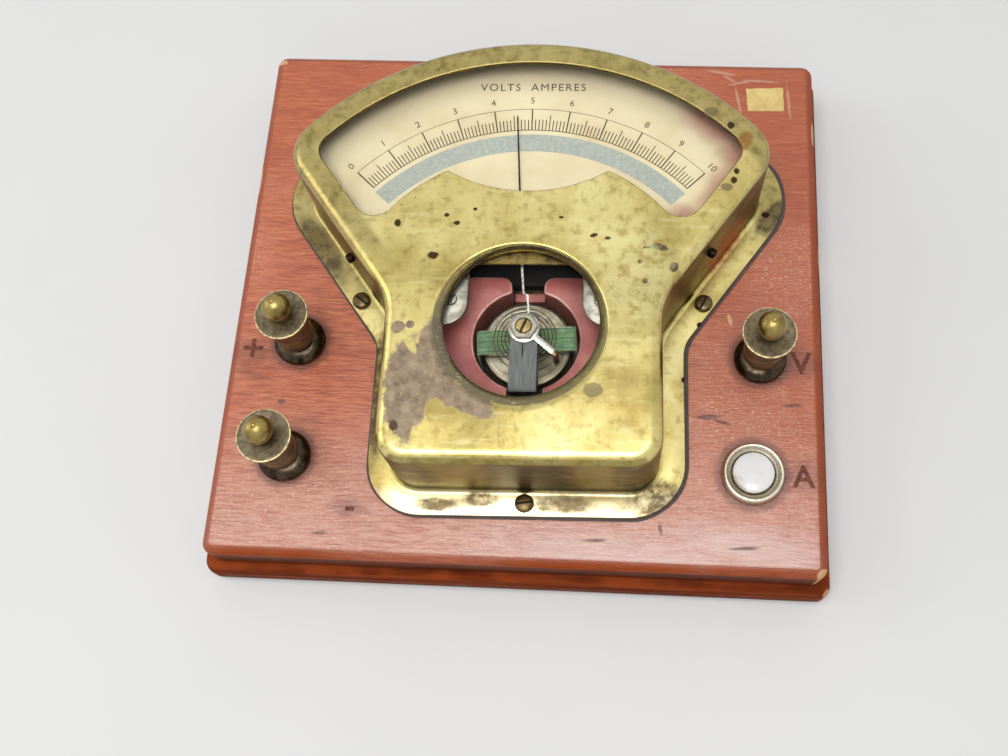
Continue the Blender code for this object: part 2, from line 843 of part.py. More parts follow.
def base_plinth():
    top = BOTTOM_PLATE_STAND + PLINTH_HEIGHT
    round_top = top - PLINTH_COVE_HEIGHT
    rings = [plinth_ring(-PLINTH_SETBACK, top, PLINTH_CORNER_RADIUS)]
    rings.append(plinth_ring(-PLINTH_SETBACK, round_top, PLINTH_CORNER_RADIUS))
    for step in range(EDGE_STEPS + 1):
        angle = math.radians(90.0 * step / EDGE_STEPS)
        out = PLINTH_STEP_OUT + (PLINTH_OUT - PLINTH_STEP_OUT) * math.sin(angle)
        z = round_top - PLINTH_ROUND_HEIGHT * (1.0 - math.cos(angle))
        rings.append(plinth_ring(out, z, PLINTH_CORNER_RADIUS))
    low = BOTTOM_PLATE_STAND
    rings.append(plinth_ring(PLINTH_OUT, low, PLINTH_CORNER_RADIUS))
    rings.append(plinth_ring(0.0, low, INNER_CORNER_RADIUS))
    rings.append(plinth_ring(0.0, low + PLINTH_RABBET, INNER_CORNER_RADIUS))
    rings.append(plinth_ring(-PLINTH_FRAME_WIDTH, low + PLINTH_RABBET, INNER_CORNER_RADIUS))
    rings.append(plinth_ring(-PLINTH_FRAME_WIDTH, top, INNER_CORNER_RADIUS))
    bm = bmesh.new()
    loft(bm, rings, True)
    plinth = solid("base_plinth", bm, plinth_wood(), None, True)
    bm = bmesh.new()
    high = BOTTOM_SCREW_LIFT + BOTTOM_SCREW_LENGTH + REST_GAP
    for x, y in bottom_screw_places():
        rod(bm, BOTTOM_SCREW_SHANK_RADIUS + THREAD_PLAY, 0.0, high, FINE_STEPS, at(x, y))
    cut(plinth, tool("plinth_screw_tool", bm, None))
    return plinth


def bottom_screw_places():
    half_x = BOARD_LENGTH / 2.0 - BOTTOM_SCREW_SIDE_INSET
    half_y = BOARD_DEPTH / 2.0 - BOTTOM_SCREW_FRONT_INSET
    return [(x, y) for y in (half_y, -half_y) for x in (half_x, -half_x)]


def bottom_plate():
    bm = bmesh.new()
    half_x = BOARD_LENGTH / 2.0 - REST_GAP
    half_y = BOARD_DEPTH / 2.0 - REST_GAP
    slab(bm, rectangle(half_x, half_y, INNER_CORNER_RADIUS, CORNER_STEPS), 0.0, BOTTOM_PLATE_THICKNESS)
    plate = solid("bottom_plate", bm, black_board(), None)
    bm = bmesh.new()
    shank = BOTTOM_SCREW_SHANK_RADIUS + THREAD_PLAY
    head = BOTTOM_SCREW_HEAD_RADIUS + REST_GAP
    high = BOTTOM_PLATE_THICKNESS + CUT_OVERRUN
    profile = [(0.0, -CUT_OVERRUN), (head, -CUT_OVERRUN), (head, BOTTOM_SCREW_LIFT)]
    profile += [(shank, BOTTOM_SCREW_SINK_HIGH), (shank, high), (0.0, high)]
    for x, y in bottom_screw_places():
        turned(bm, profile, ROUND_STEPS, at(x, y))
    cut(plate, tool("bottom_plate_tool", bm, None))
    return plate


# Brass cover

def slant():
    """A point on the slanted side, its direction and its inward normal."""
    along = Vector(polar(1.0, SLANT_DEG))
    return Vector((COVER_HALF_WIDTH, NECK_Y)), along, Vector((-along.y, along.x))


def slant_point(distance, inset):
    start, along, inward = slant()
    return start + along * distance + inward * inset


def slant_fillet(inset, fillet, reach):
    """Centre of a fillet that touches the slanted side and a circle round the pivot."""
    start, along, inward = slant()
    base = start + inward * (inset + fillet)
    half = base.dot(along)
    return base + along * (-half + math.sqrt(half * half - base.length_squared + reach * reach))


def slanted_half(inset, back_radius, fillet):
    """From the slanted side round the back corner to the middle of the back."""
    _, _, inward = slant()
    centre = slant_fillet(inset, fillet, back_radius - fillet)
    first = math.degrees(math.atan2(-inward.y, -inward.x))
    last = math.degrees(math.atan2(centre.y, centre.x))
    points = arc(centre, fillet, first, last, BACK_FILLET_STEPS)
    return points + arc((0.0, 0.0), back_radius, last, 90.0, BACK_ARC_STEPS)[1:]


def cover_outline():
    back = slanted_half(0.0, COVER_BACK_RADIUS, COVER_BACK_FILLET)
    corners = [(0.0, COVER_FRONT_Y, 0.0), (COVER_HALF_WIDTH, COVER_FRONT_Y, COVER_FRONT_RADIUS)]
    corners += [(COVER_HALF_WIDTH, NECK_Y, NECK_RADIUS), (*back[0], 0.0)]
    return mirrored(rounded(corners, NECK_STEPS, True)[:-1] + back)


def window_outline():
    _, _, inward = slant()
    back = slanted_half(WINDOW_INSET, WINDOW_BACK_RADIUS, WINDOW_BACK_FILLET)
    lobe = slant_fillet(WINDOW_INSET, WINDOW_LOBE_FILLET, WINDOW_FRONT_RADIUS + WINDOW_LOBE_FILLET)
    side = math.degrees(math.atan2(-inward.y, -inward.x))
    inner = math.degrees(math.atan2(lobe.y, lobe.x)) - 180.0
    lobe_arc = arc(lobe, WINDOW_LOBE_FILLET, inner, side, BACK_FILLET_STEPS)
    middle = WINDOW_MIDDLE_Y
    cusp_y = (WINDOW_FRONT_RADIUS ** 2 - WINDOW_MIDDLE_RADIUS ** 2 + middle ** 2) / (2.0 * middle)
    cusp_deg = math.degrees(math.asin(cusp_y / WINDOW_FRONT_RADIUS))
    front = arc((0.0, 0.0), WINDOW_FRONT_RADIUS, cusp_deg, inner + 180.0, WINDOW_ARC_STEPS)
    cusp_x = front[0][0]
    middle_deg = math.degrees(math.atan2(cusp_y - middle, cusp_x))
    low = arc((0.0, middle), WINDOW_MIDDLE_RADIUS, -90.0, middle_deg, WINDOW_ARC_STEPS)
    return mirrored(low[:-1] + front[:-1] + lobe_arc + back)


def cover_rings():
    outline = cover_outline()
    low = 2.0 * REST_GAP + GASKET_THICKNESS
    shoulder = COVER_TOP - COVER_EDGE_RADIUS
    rings = []
    inner_radius = COVER_EDGE_RADIUS - COVER_SHEET
    for step in range(EDGE_STEPS, -1, -1):
        angle = math.radians(90.0 * step / EDGE_STEPS)
        inset = COVER_SHEET + inner_radius * (1.0 - math.cos(angle))
        rings.append(at_height(offset(outline, -inset), shoulder + inner_radius * math.sin(angle)))
    rings.append(at_height(offset(outline, -COVER_SHEET), low))
    rings.append(at_height(offset(outline, FLANGE_WIDTH), low))
    rings.append(at_height(offset(outline, FLANGE_WIDTH), low + FLANGE_THICKNESS))
    for step in range(3):
        angle = math.radians(45.0 * step)
        out = FLANGE_FILLET * (1.0 - math.sin(angle))
        z = low + FLANGE_THICKNESS + FLANGE_FILLET * (1.0 - math.cos(angle))
        rings.append(at_height(offset(outline, out), z))
    for step in range(EDGE_STEPS + 1):
        angle = math.radians(90.0 * step / EDGE_STEPS)
        inset = COVER_EDGE_RADIUS * (1.0 - math.cos(angle))
        rings.append(at_height(offset(outline, -inset), shoulder + COVER_EDGE_RADIUS * math.sin(angle)))
    return rings


def dish_ring(share, radius_change, z):
    """A ring of the dished edge, from the lip at share 0 to the rim at share 1."""
    x = LIP_X + (RIM_X - LIP_X) * share
    y = LIP_Y + (RIM_Y - LIP_Y) * share
    radius = LIP_RADIUS + (RIM_RADIUS - LIP_RADIUS) * share + radius_change
    return at_height(circle((x, y), radius, OPENING_STEPS), z)


def dish_body_tool(frame):
    bm = bmesh.new()
    top = COVER_TOP - COVER_SHEET / 2.0
    share = (top - LIP_LOW) / (COVER_TOP - LIP_LOW)
    loft(bm, [dish_ring(0.0, COVER_SHEET, LIP_LOW), dish_ring(share, COVER_SHEET, top)])
    return tool("dish_body_tool", bm, frame)


def dish_cut_tool(frame):
    bm = bmesh.new()
    middle = LIP_HIGH + (COVER_TOP - LIP_HIGH) * DISH_MIDDLE_SHARE
    rings = [dish_ring(0.0, 0.0, LIP_LOW - CUT_OVERRUN), dish_ring(0.0, 0.0, LIP_HIGH)]
    rings.append(dish_ring(DISH_MIDDLE_SHARE, -DISH_BULGE, middle))
    rings.append(dish_ring(1.0, 0.0, COVER_TOP))
    rings.append(dish_ring(1.0, DISH_BULGE, COVER_TOP + CUT_OVERRUN))
    loft(bm, rings)
    return tool("dish_cut_tool", bm, frame)


def window_tool(frame):
    bm = bmesh.new()
    slab(bm, window_outline(), COVER_TOP - COVER_SHEET - CUT_OVERRUN, COVER_TOP + CUT_OVERRUN)
    return tool("window_tool", bm, frame)


def side_screw_distances():
    return {"1": SIDE_SCREW_1_DISTANCE, "2": SIDE_SCREW_2_DISTANCE}


def side_screw_place(name):
    """A frame on the slanted wall at a side screw, its Z axis pointing inwards."""
    point = slant_point(side_screw_distances()[name], 0.0)
    _, _, inward = slant()
    sign = 1.0 if name == "1" else -1.0
    across = Vector((sign * inward.x, inward.y, 0.0))
    turn = across.to_track_quat("Z", "Y").to_matrix().to_4x4()
    return at(sign * point.x, point.y, SIDE_SCREW_HEIGHT) @ turn


def side_hole_tool(name, first, last, frame):
    bm = bmesh.new()
    for screw in side_screw_distances():
        rod(bm, SIDE_SCREW_SHANK_RADIUS + THREAD_PLAY, first, last, ROUND_STEPS, side_screw_place(screw))
    return tool(name, bm, frame)


def side_screw(name, frame):
    seat = -REST_GAP
    top = seat - SIDE_SCREW_HEAD_HEIGHT
    edge = SIDE_SCREW_HEAD_HEIGHT / 4.0
    radius = SIDE_SCREW_HEAD_RADIUS
    profile = [(0.0, top), (radius - edge, top), (radius, top + edge), (radius, seat)]
    shank = SIDE_SCREW_SHANK_RADIUS
    profile += [(shank, seat), (shank, SIDE_SCREW_LENGTH), (0.0, SIDE_SCREW_LENGTH)]
    bm = bmesh.new()
    turned(bm, profile, ROUND_STEPS, side_screw_place(name))
    return solid(f"side_screw_{name}", bm, dark_brass(), frame, True)


def flange_hole_tool(frame):
    bm = bmesh.new()
    low = 2.0 * REST_GAP + GASKET_THICKNESS
    radius = FLANGE_SCREW_SHANK_RADIUS + THREAD_PLAY
    for x, y in flange_screw_places():
        rod(bm, radius, low - CUT_OVERRUN, low + FLANGE_THICKNESS + CUT_OVERRUN, ROUND_STEPS, at(x, y))
    return tool("flange_hole_tool", bm, frame)


def brass_cover(frame):
    bm = bmesh.new()
    loft(bm, cover_rings())
    cover = solid("brass_cover", bm, cover_brass(), frame, True)
    join(cover, dish_body_tool(frame))
    cut(cover, dish_cut_tool(frame))
    cut(cover, window_tool(frame))
    wall = COVER_SHEET + CUT_OVERRUN
    cut(cover, side_hole_tool("wall_hole_tool", -CUT_OVERRUN, wall, frame))
    cut(cover, flange_hole_tool(frame))
    return cover


def cover_gasket(frame):
    outline = cover_outline()
    outer = offset([(x + GASKET_SHIFT_X, y) for x, y in outline], FLANGE_WIDTH + GASKET_SHOW)
    inner = offset(outline, GASKET_INSET)
    low = REST_GAP
    high = REST_GAP + GASKET_THICKNESS
    rings = [at_height(inner, low), at_height(outer, low), at_height(outer, high), at_height(inner, high)]
    bm = bmesh.new()
    loft(bm, rings, True)
    gasket = solid("cover_gasket", bm, felt(), frame)
    bm = bmesh.new()
    radius = FLANGE_SCREW_SHANK_RADIUS + THREAD_PLAY
    for x, y in flange_screw_places():
        rod(bm, radius, low - CUT_OVERRUN, high + CUT_OVERRUN, FINE_STEPS, at(x, y))
    cut(gasket, tool("gasket_hole_tool", bm, frame))
    return gasket


def flange_screw_seat():
    return 3.0 * REST_GAP + GASKET_THICKNESS + FLANGE_THICKNESS


def flange_screw_low():
    return flange_screw_seat() - FLANGE_SCREW_LENGTH


def slotted_screw(bm, seat, head_radius, head_height, shank_radius, length, steps, place):
    """A screw with a domed head that stands on a seat."""
    top = seat + head_height
    edge = seat + head_height / 2.0
    shoulder = head_radius - head_height / 4.0
    profile = [(0.0, seat - length), (shank_radius, seat - length), (shank_radius, seat)]
    profile += [(head_radius, seat), (head_radius, edge), (shoulder, top), (0.0, top)]
    turned(bm, profile, steps, place)


def slot_cut(bm, radius, top, degrees, place):
    half = SCREW_SLOT_WIDTH / 2.0
    reach = radius + CUT_OVERRUN
    box(bm, -reach, reach, -half, half, top - SCREW_SLOT_DEPTH, top + CUT_OVERRUN, place @ turn_z(degrees))


def cover_screw(index, frame):
    seat = flange_screw_seat()
    place = at(*flange_screw_places()[index])
    bm = bmesh.new()
    slotted_screw(
        bm, seat, FLANGE_SCREW_HEAD_RADIUS, FLANGE_SCREW_HEAD_HEIGHT,
        FLANGE_SCREW_SHANK_RADIUS, FLANGE_SCREW_LENGTH, ROUND_STEPS, place,
    )
    screw = solid(f"cover_screw_{index + 1}", bm, cover_brass(), frame, True)
    bm = bmesh.new()
    degrees = FLANGE_SCREW_SLOTS_DEG[index]
    slot_cut(bm, FLANGE_SCREW_HEAD_RADIUS, seat + FLANGE_SCREW_HEAD_HEIGHT, degrees, place)
    cut(screw, tool(f"cover_slot_tool_{index + 1}", bm, frame))
    return screw


# Glasses

def dial_glass_high():
    return COVER_TOP - COVER_SHEET - REST_GAP


def dial_glass_low():
    return dial_glass_high() - DIAL_GLASS_THICKNESS


def movement_glass_low():
    return LIP_LOW - REST_GAP - MOVEMENT_GLASS_THICKNESS


def strap_high():
    return movement_glass_low() - REST_GAP


def strap_low():
    return strap_high() - STRAP_THICKNESS


def slant_x(y, inset):
    """Where the slanted side, moved inwards, crosses a height y."""
    start, along, inward = slant()
    base = start + inward * inset
    return base.x + along.x * (y - base.y) / along.y


def fan_outline(inset, front_y):
    """A plate that follows the cover's slanted sides and back, cut straight at the front."""
    back = slanted_half(inset, COVER_BACK_RADIUS - inset, COVER_BACK_FILLET - inset)
    return mirrored([(0.0, front_y), (slant_x(front_y, inset), front_y)] + back)


def dial_glass(frame):
    bm = bmesh.new()
    slab(bm, fan_outline(DIAL_GLASS_INSET, DIAL_GLASS_FRONT_Y), dial_glass_low(), dial_glass_high())
    return solid("dial_glass", bm, clear_glass(), frame)


def movement_glass(frame):
    chord = math.degrees(math.asin((MOVEMENT_GLASS_BACK_Y - LIP_Y) / MOVEMENT_GLASS_RADIUS))
    outline = arc((LIP_X, LIP_Y), MOVEMENT_GLASS_RADIUS, 180.0 - chord, 360.0 + chord, OPENING_STEPS)
    bm = bmesh.new()
    low = movement_glass_low()
    slab(bm, outline, low, low + MOVEMENT_GLASS_THICKNESS)
    return solid("movement_glass", bm, clear_glass(), frame)


def ear_place(name):
    sign = 1.0 if name == "1" else -1.0
    point = slant_point(side_screw_distances()[name], COVER_SHEET + REST_GAP)
    flip = Matrix.Scale(sign, 4, (1.0, 0.0, 0.0))
    return flip @ at(point.x, point.y) @ turn_z(SLANT_DEG)


def glass_strap(frame):
    inset = COVER_SHEET + 2.0 * REST_GAP
    front = slant_x(STRAP_FRONT_Y, inset)
    back = slant_x(STRAP_BACK_Y, inset)
    outline = [(-front, STRAP_FRONT_Y), (front, STRAP_FRONT_Y), (back, STRAP_BACK_Y), (-back, STRAP_BACK_Y)]
    bm = bmesh.new()
    slab(bm, outline, strap_low(), strap_high())
    strap = solid("glass_strap", bm, inner_brass(), frame)
    for name in side_screw_distances():
        bm = bmesh.new()
        reach = STRAP_EAR_HALF_LENGTH
        high = strap_high() - STRAP_EAR_OVERLAP
        box(bm, -reach, reach, 0.0, STRAP_EAR_THICKNESS, STRAP_EAR_LOW, high, ear_place(name))
        join(strap, tool(f"strap_ear_{name}_tool", bm, frame))
    first = COVER_SHEET - CUT_OVERRUN
    last = COVER_SHEET + REST_GAP + STRAP_EAR_THICKNESS + CUT_OVERRUN
    cut(strap, side_hole_tool("strap_hole_tool", first, last, frame))
    return strap


def glass_packing(frame):
    bm = bmesh.new()
    low = strap_high() + REST_GAP
    high = dial_glass_low() - REST_GAP
    box(bm, -PACKING_HALF_LENGTH, PACKING_HALF_LENGTH, PACKING_FRONT_Y, PACKING_BACK_Y, low, high)
    return solid("glass_packing", bm, cork(), frame)


def movement_glass_clip(frame):
    high = COVER_TOP - COVER_SHEET - REST_GAP
    low = movement_glass_low() - REST_GAP - CLIP_SHEET
    foot = high - CLIP_SHEET
    inner = CLIP_RISER_Y + CLIP_SHEET
    outline = [(CLIP_BACK_Y, low), (CLIP_BACK_Y, low + CLIP_SHEET), (inner, low + CLIP_SHEET), (inner, high)]
    outline += [(CLIP_FRONT_Y, high), (CLIP_FRONT_Y, foot), (CLIP_RISER_Y, foot), (CLIP_RISER_Y, low)]
    bm = bmesh.new()
    side_slab(bm, outline, -CLIP_HALF_WIDTH, CLIP_HALF_WIDTH)
    return solid("movement_glass_clip", bm, inner_brass(), frame)


# Scale

def plate_outline():
    side = slant_x(LUG_OUTER_Y, PLATE_INSET)
    corners = [(0.0, PLATE_BAY_Y, 0.0), (LUG_INNER_X, PLATE_BAY_Y, 0.0)]
    corners += [(LUG_INNER_X, LUG_FRONT_Y, LUG_CORNER_RADIUS), (LUG_OUTER_X, LUG_FRONT_Y, 0.0)]
    corners += [(LUG_OUTER_X, LUG_OUTER_Y, 0.0), (side, LUG_OUTER_Y, 0.0)]
    back = slanted_half(PLATE_INSET, COVER_BACK_RADIUS - PLATE_INSET, COVER_BACK_FILLET - PLATE_INSET)
    return mirrored(rounded(corners, CORNER_STEPS, True) + back)


def scale_plate(frame):
    bm = bmesh.new()
    slab(bm, plate_outline(), PLATE_LOW, PLATE_LOW + PLATE_THICKNESS)
    plate = solid("scale_plate", bm, grey_metal(), frame)
    bm = bmesh.new()
    radius = SCALE_SCREW_SHANK_RADIUS + THREAD_PLAY
    low = PLATE_LOW - CUT_OVERRUN
    high = PLATE_LOW + PLATE_THICKNESS + CUT_OVERRUN
    for x in (LUG_SCREW_X, -LUG_SCREW_X):
        rod(bm, radius, low, high, ROUND_STEPS, at(x, LUG_SCREW_Y))
    cut(plate, tool("scale_hole_tool", bm, frame))
    return plate


def scale_card(frame):
    bm = bmesh.new()
    low = PLATE_LOW + PLATE_THICKNESS + CARD_GAP
    slab(bm, fan_outline(CARD_INSET, CARD_FRONT_Y), low, low + CARD_THICKNESS)
    return solid("scale_card", bm, cream_card(), frame)


def lug_place(index):
    return at((LUG_SCREW_X, -LUG_SCREW_X)[index], LUG_SCREW_Y)


def scale_screw(index, frame):
    seat = PLATE_LOW + PLATE_THICKNESS + REST_GAP
    bm = bmesh.new()
    slotted_screw(
        bm, seat, SCALE_SCREW_HEAD_RADIUS, SCALE_SCREW_HEAD_HEIGHT,
        SCALE_SCREW_SHANK_RADIUS, SCALE_SCREW_LENGTH, ROUND_STEPS, lug_place(index),
    )
    screw = solid(f"scale_screw_{index + 1}", bm, bright_steel(), frame, True)
    bm = bmesh.new()
    degrees = SCALE_SCREW_SLOTS_DEG[index]
    slot_cut(bm, SCALE_SCREW_HEAD_RADIUS, seat + SCALE_SCREW_HEAD_HEIGHT, degrees, lug_place(index))
    cut(screw, tool(f"scale_slot_tool_{index + 1}", bm, frame))
    return screw


def magnet_low():
    return MOVEMENT_PLATE_LOW + MOVEMENT_PLATE_THICKNESS + REST_GAP


def magnet_high():
    return magnet_low() + MAGNET_HEIGHT


def inner_scale_pillar(index, frame):
    low = magnet_high() + REST_GAP
    high = PLATE_LOW - REST_GAP
    bore = SCALE_SCREW_SHANK_RADIUS + THREAD_PLAY
    floor = high - INNER_PILLAR_BORE_DEPTH
    profile = [(0.0, low), (INNER_PILLAR_RADIUS, low), (INNER_PILLAR_RADIUS, high)]
    profile += [(bore, high), (bore, floor), (0.0, floor)]
    bm = bmesh.new()
    turned(bm, profile, ROUND_STEPS, lug_place(index))
    return solid(f"inner_scale_pillar_{index + 1}", bm, inner_brass(), frame, True)


def outer_scale_pillar(index, frame):
    place = at((OUTER_PILLAR_X, -OUTER_PILLAR_X)[index], OUTER_PILLAR_Y)
    bm = bmesh.new()
    rod(bm, OUTER_PILLAR_RADIUS, REST_GAP, PLATE_LOW - REST_GAP, ROUND_STEPS, place)
    return solid(f"outer_scale_pillar_{index + 1}", bm, inner_brass(), frame, True)


# Magnet and core

def movement_base_plate(frame):
    half = POCKET_HALF_WIDTH - MOVEMENT_PLATE_MARGIN
    front = POCKET_FRONT_Y + MOVEMENT_PLATE_MARGIN
    back = POCKET_BACK_Y - MOVEMENT_PLATE_MARGIN
    low = MOVEMENT_PLATE_LOW
    high = MOVEMENT_PLATE_LOW + MOVEMENT_PLATE_THICKNESS
    bm = bmesh.new()
    box(bm, -half, half, front, back, low, high)
    plate = solid("movement_base_plate", bm, inner_brass(), frame)
    bm = bmesh.new()
    holes = [(x, y, MOVEMENT_SCREW_SHANK_RADIUS) for x, y in movement_screw_places()]
    holes += [(0.0, BRIDGE_SCREW_Y, BRIDGE_SCREW_SHANK_RADIUS), (0.0, 0.0, LOWER_JEWEL_RADIUS)]
    for x, y, radius in holes:
        rod(bm, radius + THREAD_PLAY, low - CUT_OVERRUN, high + CUT_OVERRUN, ROUND_STEPS, at(x, y))
    cut(plate, tool("movement_plate_tool", bm, frame))
    return plate


def magnet_outline():
    gap_deg = math.degrees(math.acos(MAGNET_GAP_HALF / MAGNET_BORE_RADIUS))
    slot_deg = -math.degrees(math.acos(MAGNET_SLOT_HALF / MAGNET_BORE_RADIUS))
    arch = arc((0.0, MAGNET_ARCH_Y), MAGNET_HALF_WIDTH, -90.0, 0.0, ARCH_STEPS // 2)
    bore_y = polar(MAGNET_BORE_RADIUS, gap_deg)[1]
    bore_deg = gap_deg - MAGNET_BORE_EDGE_DEG
    corners = [(*arch[-1], 0.0), (MAGNET_HALF_WIDTH, MAGNET_BACK_Y, MAGNET_OUTER_FILLET)]
    corners += [(MAGNET_GAP_HALF, MAGNET_BACK_Y, MAGNET_TIP_FILLET)]
    corners += [(MAGNET_GAP_HALF, bore_y, MAGNET_BORE_FILLET)]
    corners += [(*polar(MAGNET_BORE_RADIUS, bore_deg), 0.0)]
    tip = rounded(corners, NECK_STEPS, True)
    bore = arc((0.0, 0.0), MAGNET_BORE_RADIUS, bore_deg, slot_deg, BORE_STEPS)
    slot = arc((0.0, MAGNET_SLOT_Y), MAGNET_SLOT_HALF, 0.0, -90.0, NECK_STEPS)
    return mirrored(arch[:-1] + tip[:-1] + bore + slot)


def magnet(frame):
    bm = bmesh.new()
    slab(bm, magnet_outline(), magnet_low(), magnet_high(), MAGNET_EDGE)
    return solid("magnet", bm, red_enamel(), frame, True)


def pole_spacer(frame):
    bm = bmesh.new()
    box(bm, -SPACER_HALF_WIDTH, SPACER_HALF_WIDTH, SPACER_FRONT_Y, SPACER_BACK_Y, SPACER_LOW, SPACER_HIGH)
    return solid("pole_spacer", bm, red_enamel(), frame)


def iron_core(frame):
    bm = bmesh.new()
    small = CORE_RADIUS - CORE_EDGE
    profile = [(0.0, CORE_LOW), (small, CORE_LOW), (CORE_RADIUS, CORE_LOW + CORE_EDGE)]
    profile += [(CORE_RADIUS, CORE_HIGH - CORE_EDGE), (small, CORE_HIGH), (0.0, CORE_HIGH)]
    turned(bm, profile, CORE_STEPS)
    return solid("iron_core", bm, turned_iron(), frame, True)


def core_bracket(frame):
    """A strip under the core with a turned pillar at each end."""
    low = magnet_low()
    high = low + BRACKET_THICKNESS
    bm = bmesh.new()
    half = BRACKET_HALF_WIDTH
    reach = CORE_PILLAR_Y + CORE_PILLAR_RADIUS + BRACKET_MARGIN
    box(bm, -half, half, -reach, reach, low, high)
    bracket = solid("core_bracket", bm, inner_brass(), frame)
    for name, y in (("back", CORE_PILLAR_Y), ("front", -CORE_PILLAR_Y)):
        bm = bmesh.new()
        rod(bm, CORE_PILLAR_RADIUS, low + BRACKET_OVERLAP, CORE_LOW - REST_GAP, ROUND_STEPS, at(0.0, y))
        join(bracket, tool(f"core_pillar_{name}_tool", bm, frame))
    bm = bmesh.new()
    rod(bm, LOWER_JEWEL_RADIUS + THREAD_PLAY, low - CUT_OVERRUN, high + CUT_OVERRUN, ROUND_STEPS)
    cut(bracket, tool("bracket_hole_tool", bm, frame))
    return bracket


# Moving coil

def coil_rectangle(half_x, low, high, radius, steps):
    middle = (low + high) / 2.0
    return [(x, y + middle) for x, y in rectangle(half_x, (high - low) / 2.0, radius, steps)]


def coil_ring(outline, y):
    return [(x, y, z) for x, z in outline]


def coil_former(frame):
    half = COIL_INNER_HALF_WIDTH
    inner = coil_rectangle(half, COIL_INNER_LOW, COIL_INNER_HIGH, COIL_INNER_CORNER_RADIUS, 2)
    low = COIL_INNER_LOW - COIL_END_THICKNESS
    high = COIL_INNER_HIGH + COIL_END_THICKNESS
    outer = coil_rectangle(half + COIL_SIDE_THICKNESS, low, high, COIL_CORNER_RADIUS, 2)
    bm = bmesh.new()
    y = COIL_HALF_DEPTH
    loft(bm, [coil_ring(inner, -y), coil_ring(outer, -y), coil_ring(outer, y), coil_ring(inner, y)], True)
    return solid("coil_former", bm, former_metal(), frame)


def coil_wire_out():
    return WIRE_GAP + COIL_WIRE_RADIUS


def coil_high():
    return COIL_INNER_HIGH + COIL_END_THICKNESS + WIRE_GAP + 2.0 * COIL_WIRE_RADIUS


def coil_low():
    return COIL_INNER_LOW - COIL_END_THICKNESS - WIRE_GAP - 2.0 * COIL_WIRE_RADIUS


def coil_loop():
    """One loop round the former, 24 points, starting in the middle of the top."""
    out = coil_wire_out()
    half = COIL_INNER_HALF_WIDTH + COIL_SIDE_THICKNESS + out
    low = COIL_INNER_LOW - COIL_END_THICKNESS - out
    high = COIL_INNER_HIGH + COIL_END_THICKNESS + out
    corners = coil_rectangle(half, low, high, COIL_CORNER_RADIUS + out, COIL_CORNER_POINTS - 1)
    points = []
    for corner in range(4):
        part = corners[corner * COIL_CORNER_POINTS:(corner + 1) * COIL_CORNER_POINTS]
        after = corners[(corner + 1) * COIL_CORNER_POINTS % len(corners)]
        last = part[-1]
        points.extend(part)
        for step in range(1, COIL_EDGE_POINTS + 1):
            share = step / (COIL_EDGE_POINTS + 1)
            points.append((last[0] + (after[0] - last[0]) * share, last[1] + (after[1] - last[1]) * share))
    return points


def coil_winding(frame):
    loop = coil_loop()
    count = len(loop)
    total = count * COIL_LOOPS
    path = []
    for index in range(total):
        x, z = loop[index % count]
        y = COIL_WIRE_PITCH * (index / count - COIL_LOOPS / 2.0)
        path.append((x, y, z))
    print_least_gap("coil_winding", path, COIL_WIRE_RADIUS, count)
    return tube("coil_winding", [path], COIL_WIRE_RADIUS, green_silk(), frame)


def upper_staff(frame):
    seat = coil_high() + REST_GAP
    profile = [(0.0, seat), (STAFF_SEAT_RADIUS, seat), (STAFF_SEAT_RADIUS, seat + STAFF_SEAT_THICKNESS)]
    profile += [(COLLET_RADIUS, seat + STAFF_SEAT_THICKNESS), (COLLET_RADIUS, COLLET_HIGH)]
    profile += [(STAFF_RADIUS, COLLET_HIGH), (STAFF_RADIUS, STAFF_HIGH)]
    profile += [(PIVOT_RADIUS, STAFF_HIGH), (0.0, PIVOT_HIGH)]
    bm = bmesh.new()
    turned(bm, profile, ROUND_STEPS)
    return solid("upper_staff", bm, bright_steel(), frame, True)


def lower_staff(frame):
    seat = coil_low() - REST_GAP
    under = seat - LOWER_SEAT_THICKNESS
    profile = [(0.0, seat), (LOWER_SEAT_RADIUS, seat), (LOWER_SEAT_RADIUS, under)]
    profile += [(LOWER_COLLET_RADIUS, under), (LOWER_COLLET_RADIUS, LOWER_COLLET_LOW)]
    profile += [(PIVOT_RADIUS, LOWER_COLLET_LOW), (0.0, LOWER_PIVOT_LOW)]
    bm = bmesh.new()
    turned(bm, profile, ROUND_STEPS)
    return solid("lower_staff", bm, bright_steel(), frame, True)


def pointer_sections():
    """(y, middle x, half width, underside z) from the tail to the tip."""
    root = POINTER_COLLAR_LOW + POINTER_THICKNESS / 2.0
    jog = POINTER_JOG_RADIUS
    width = POINTER_ROOT_HALF_WIDTH
    return (
        (-TAIL_LENGTH, 0.0, TAIL_HALF_WIDTH, root),
        (-POINTER_COLLAR_RADIUS + POINTER_THICKNESS, 0.0, TAIL_HALF_WIDTH, root),
    ), (
        (POINTER_COLLAR_RADIUS - 2.0 * POINTER_THICKNESS, POINTER_JOG, width, root),
        (POINTER_UNDER_BAR_Y, POINTER_JOG, width, root),
        (jog - POINTER_THICKNESS, POINTER_JOG, width, POINTER_JOG_HEIGHT),
        (jog + POINTER_THICKNESS, 0.0, width, POINTER_JOG_HEIGHT),
        (POINTER_LEVEL_Y, 0.0, width, POINTER_LEVEL - POINTER_THICKNESS),
        (COVER_BACK_RADIUS / 2.0, 0.0, POINTER_BLADE_HALF_WIDTH, POINTER_LEVEL - POINTER_THICKNESS),
        (POINTER_LENGTH, 0.0, POINTER_TIP_HALF_WIDTH, POINTER_LEVEL - POINTER_THICKNESS),
    )


def strip(bm, sections):
    rings = []
    for y, x, half, z in sections:
        high = z + POINTER_THICKNESS
        rings.append([(x - half, y, z), (x + half, y, z), (x + half, y, high), (x - half, y, high)])
    loft(bm, rings)


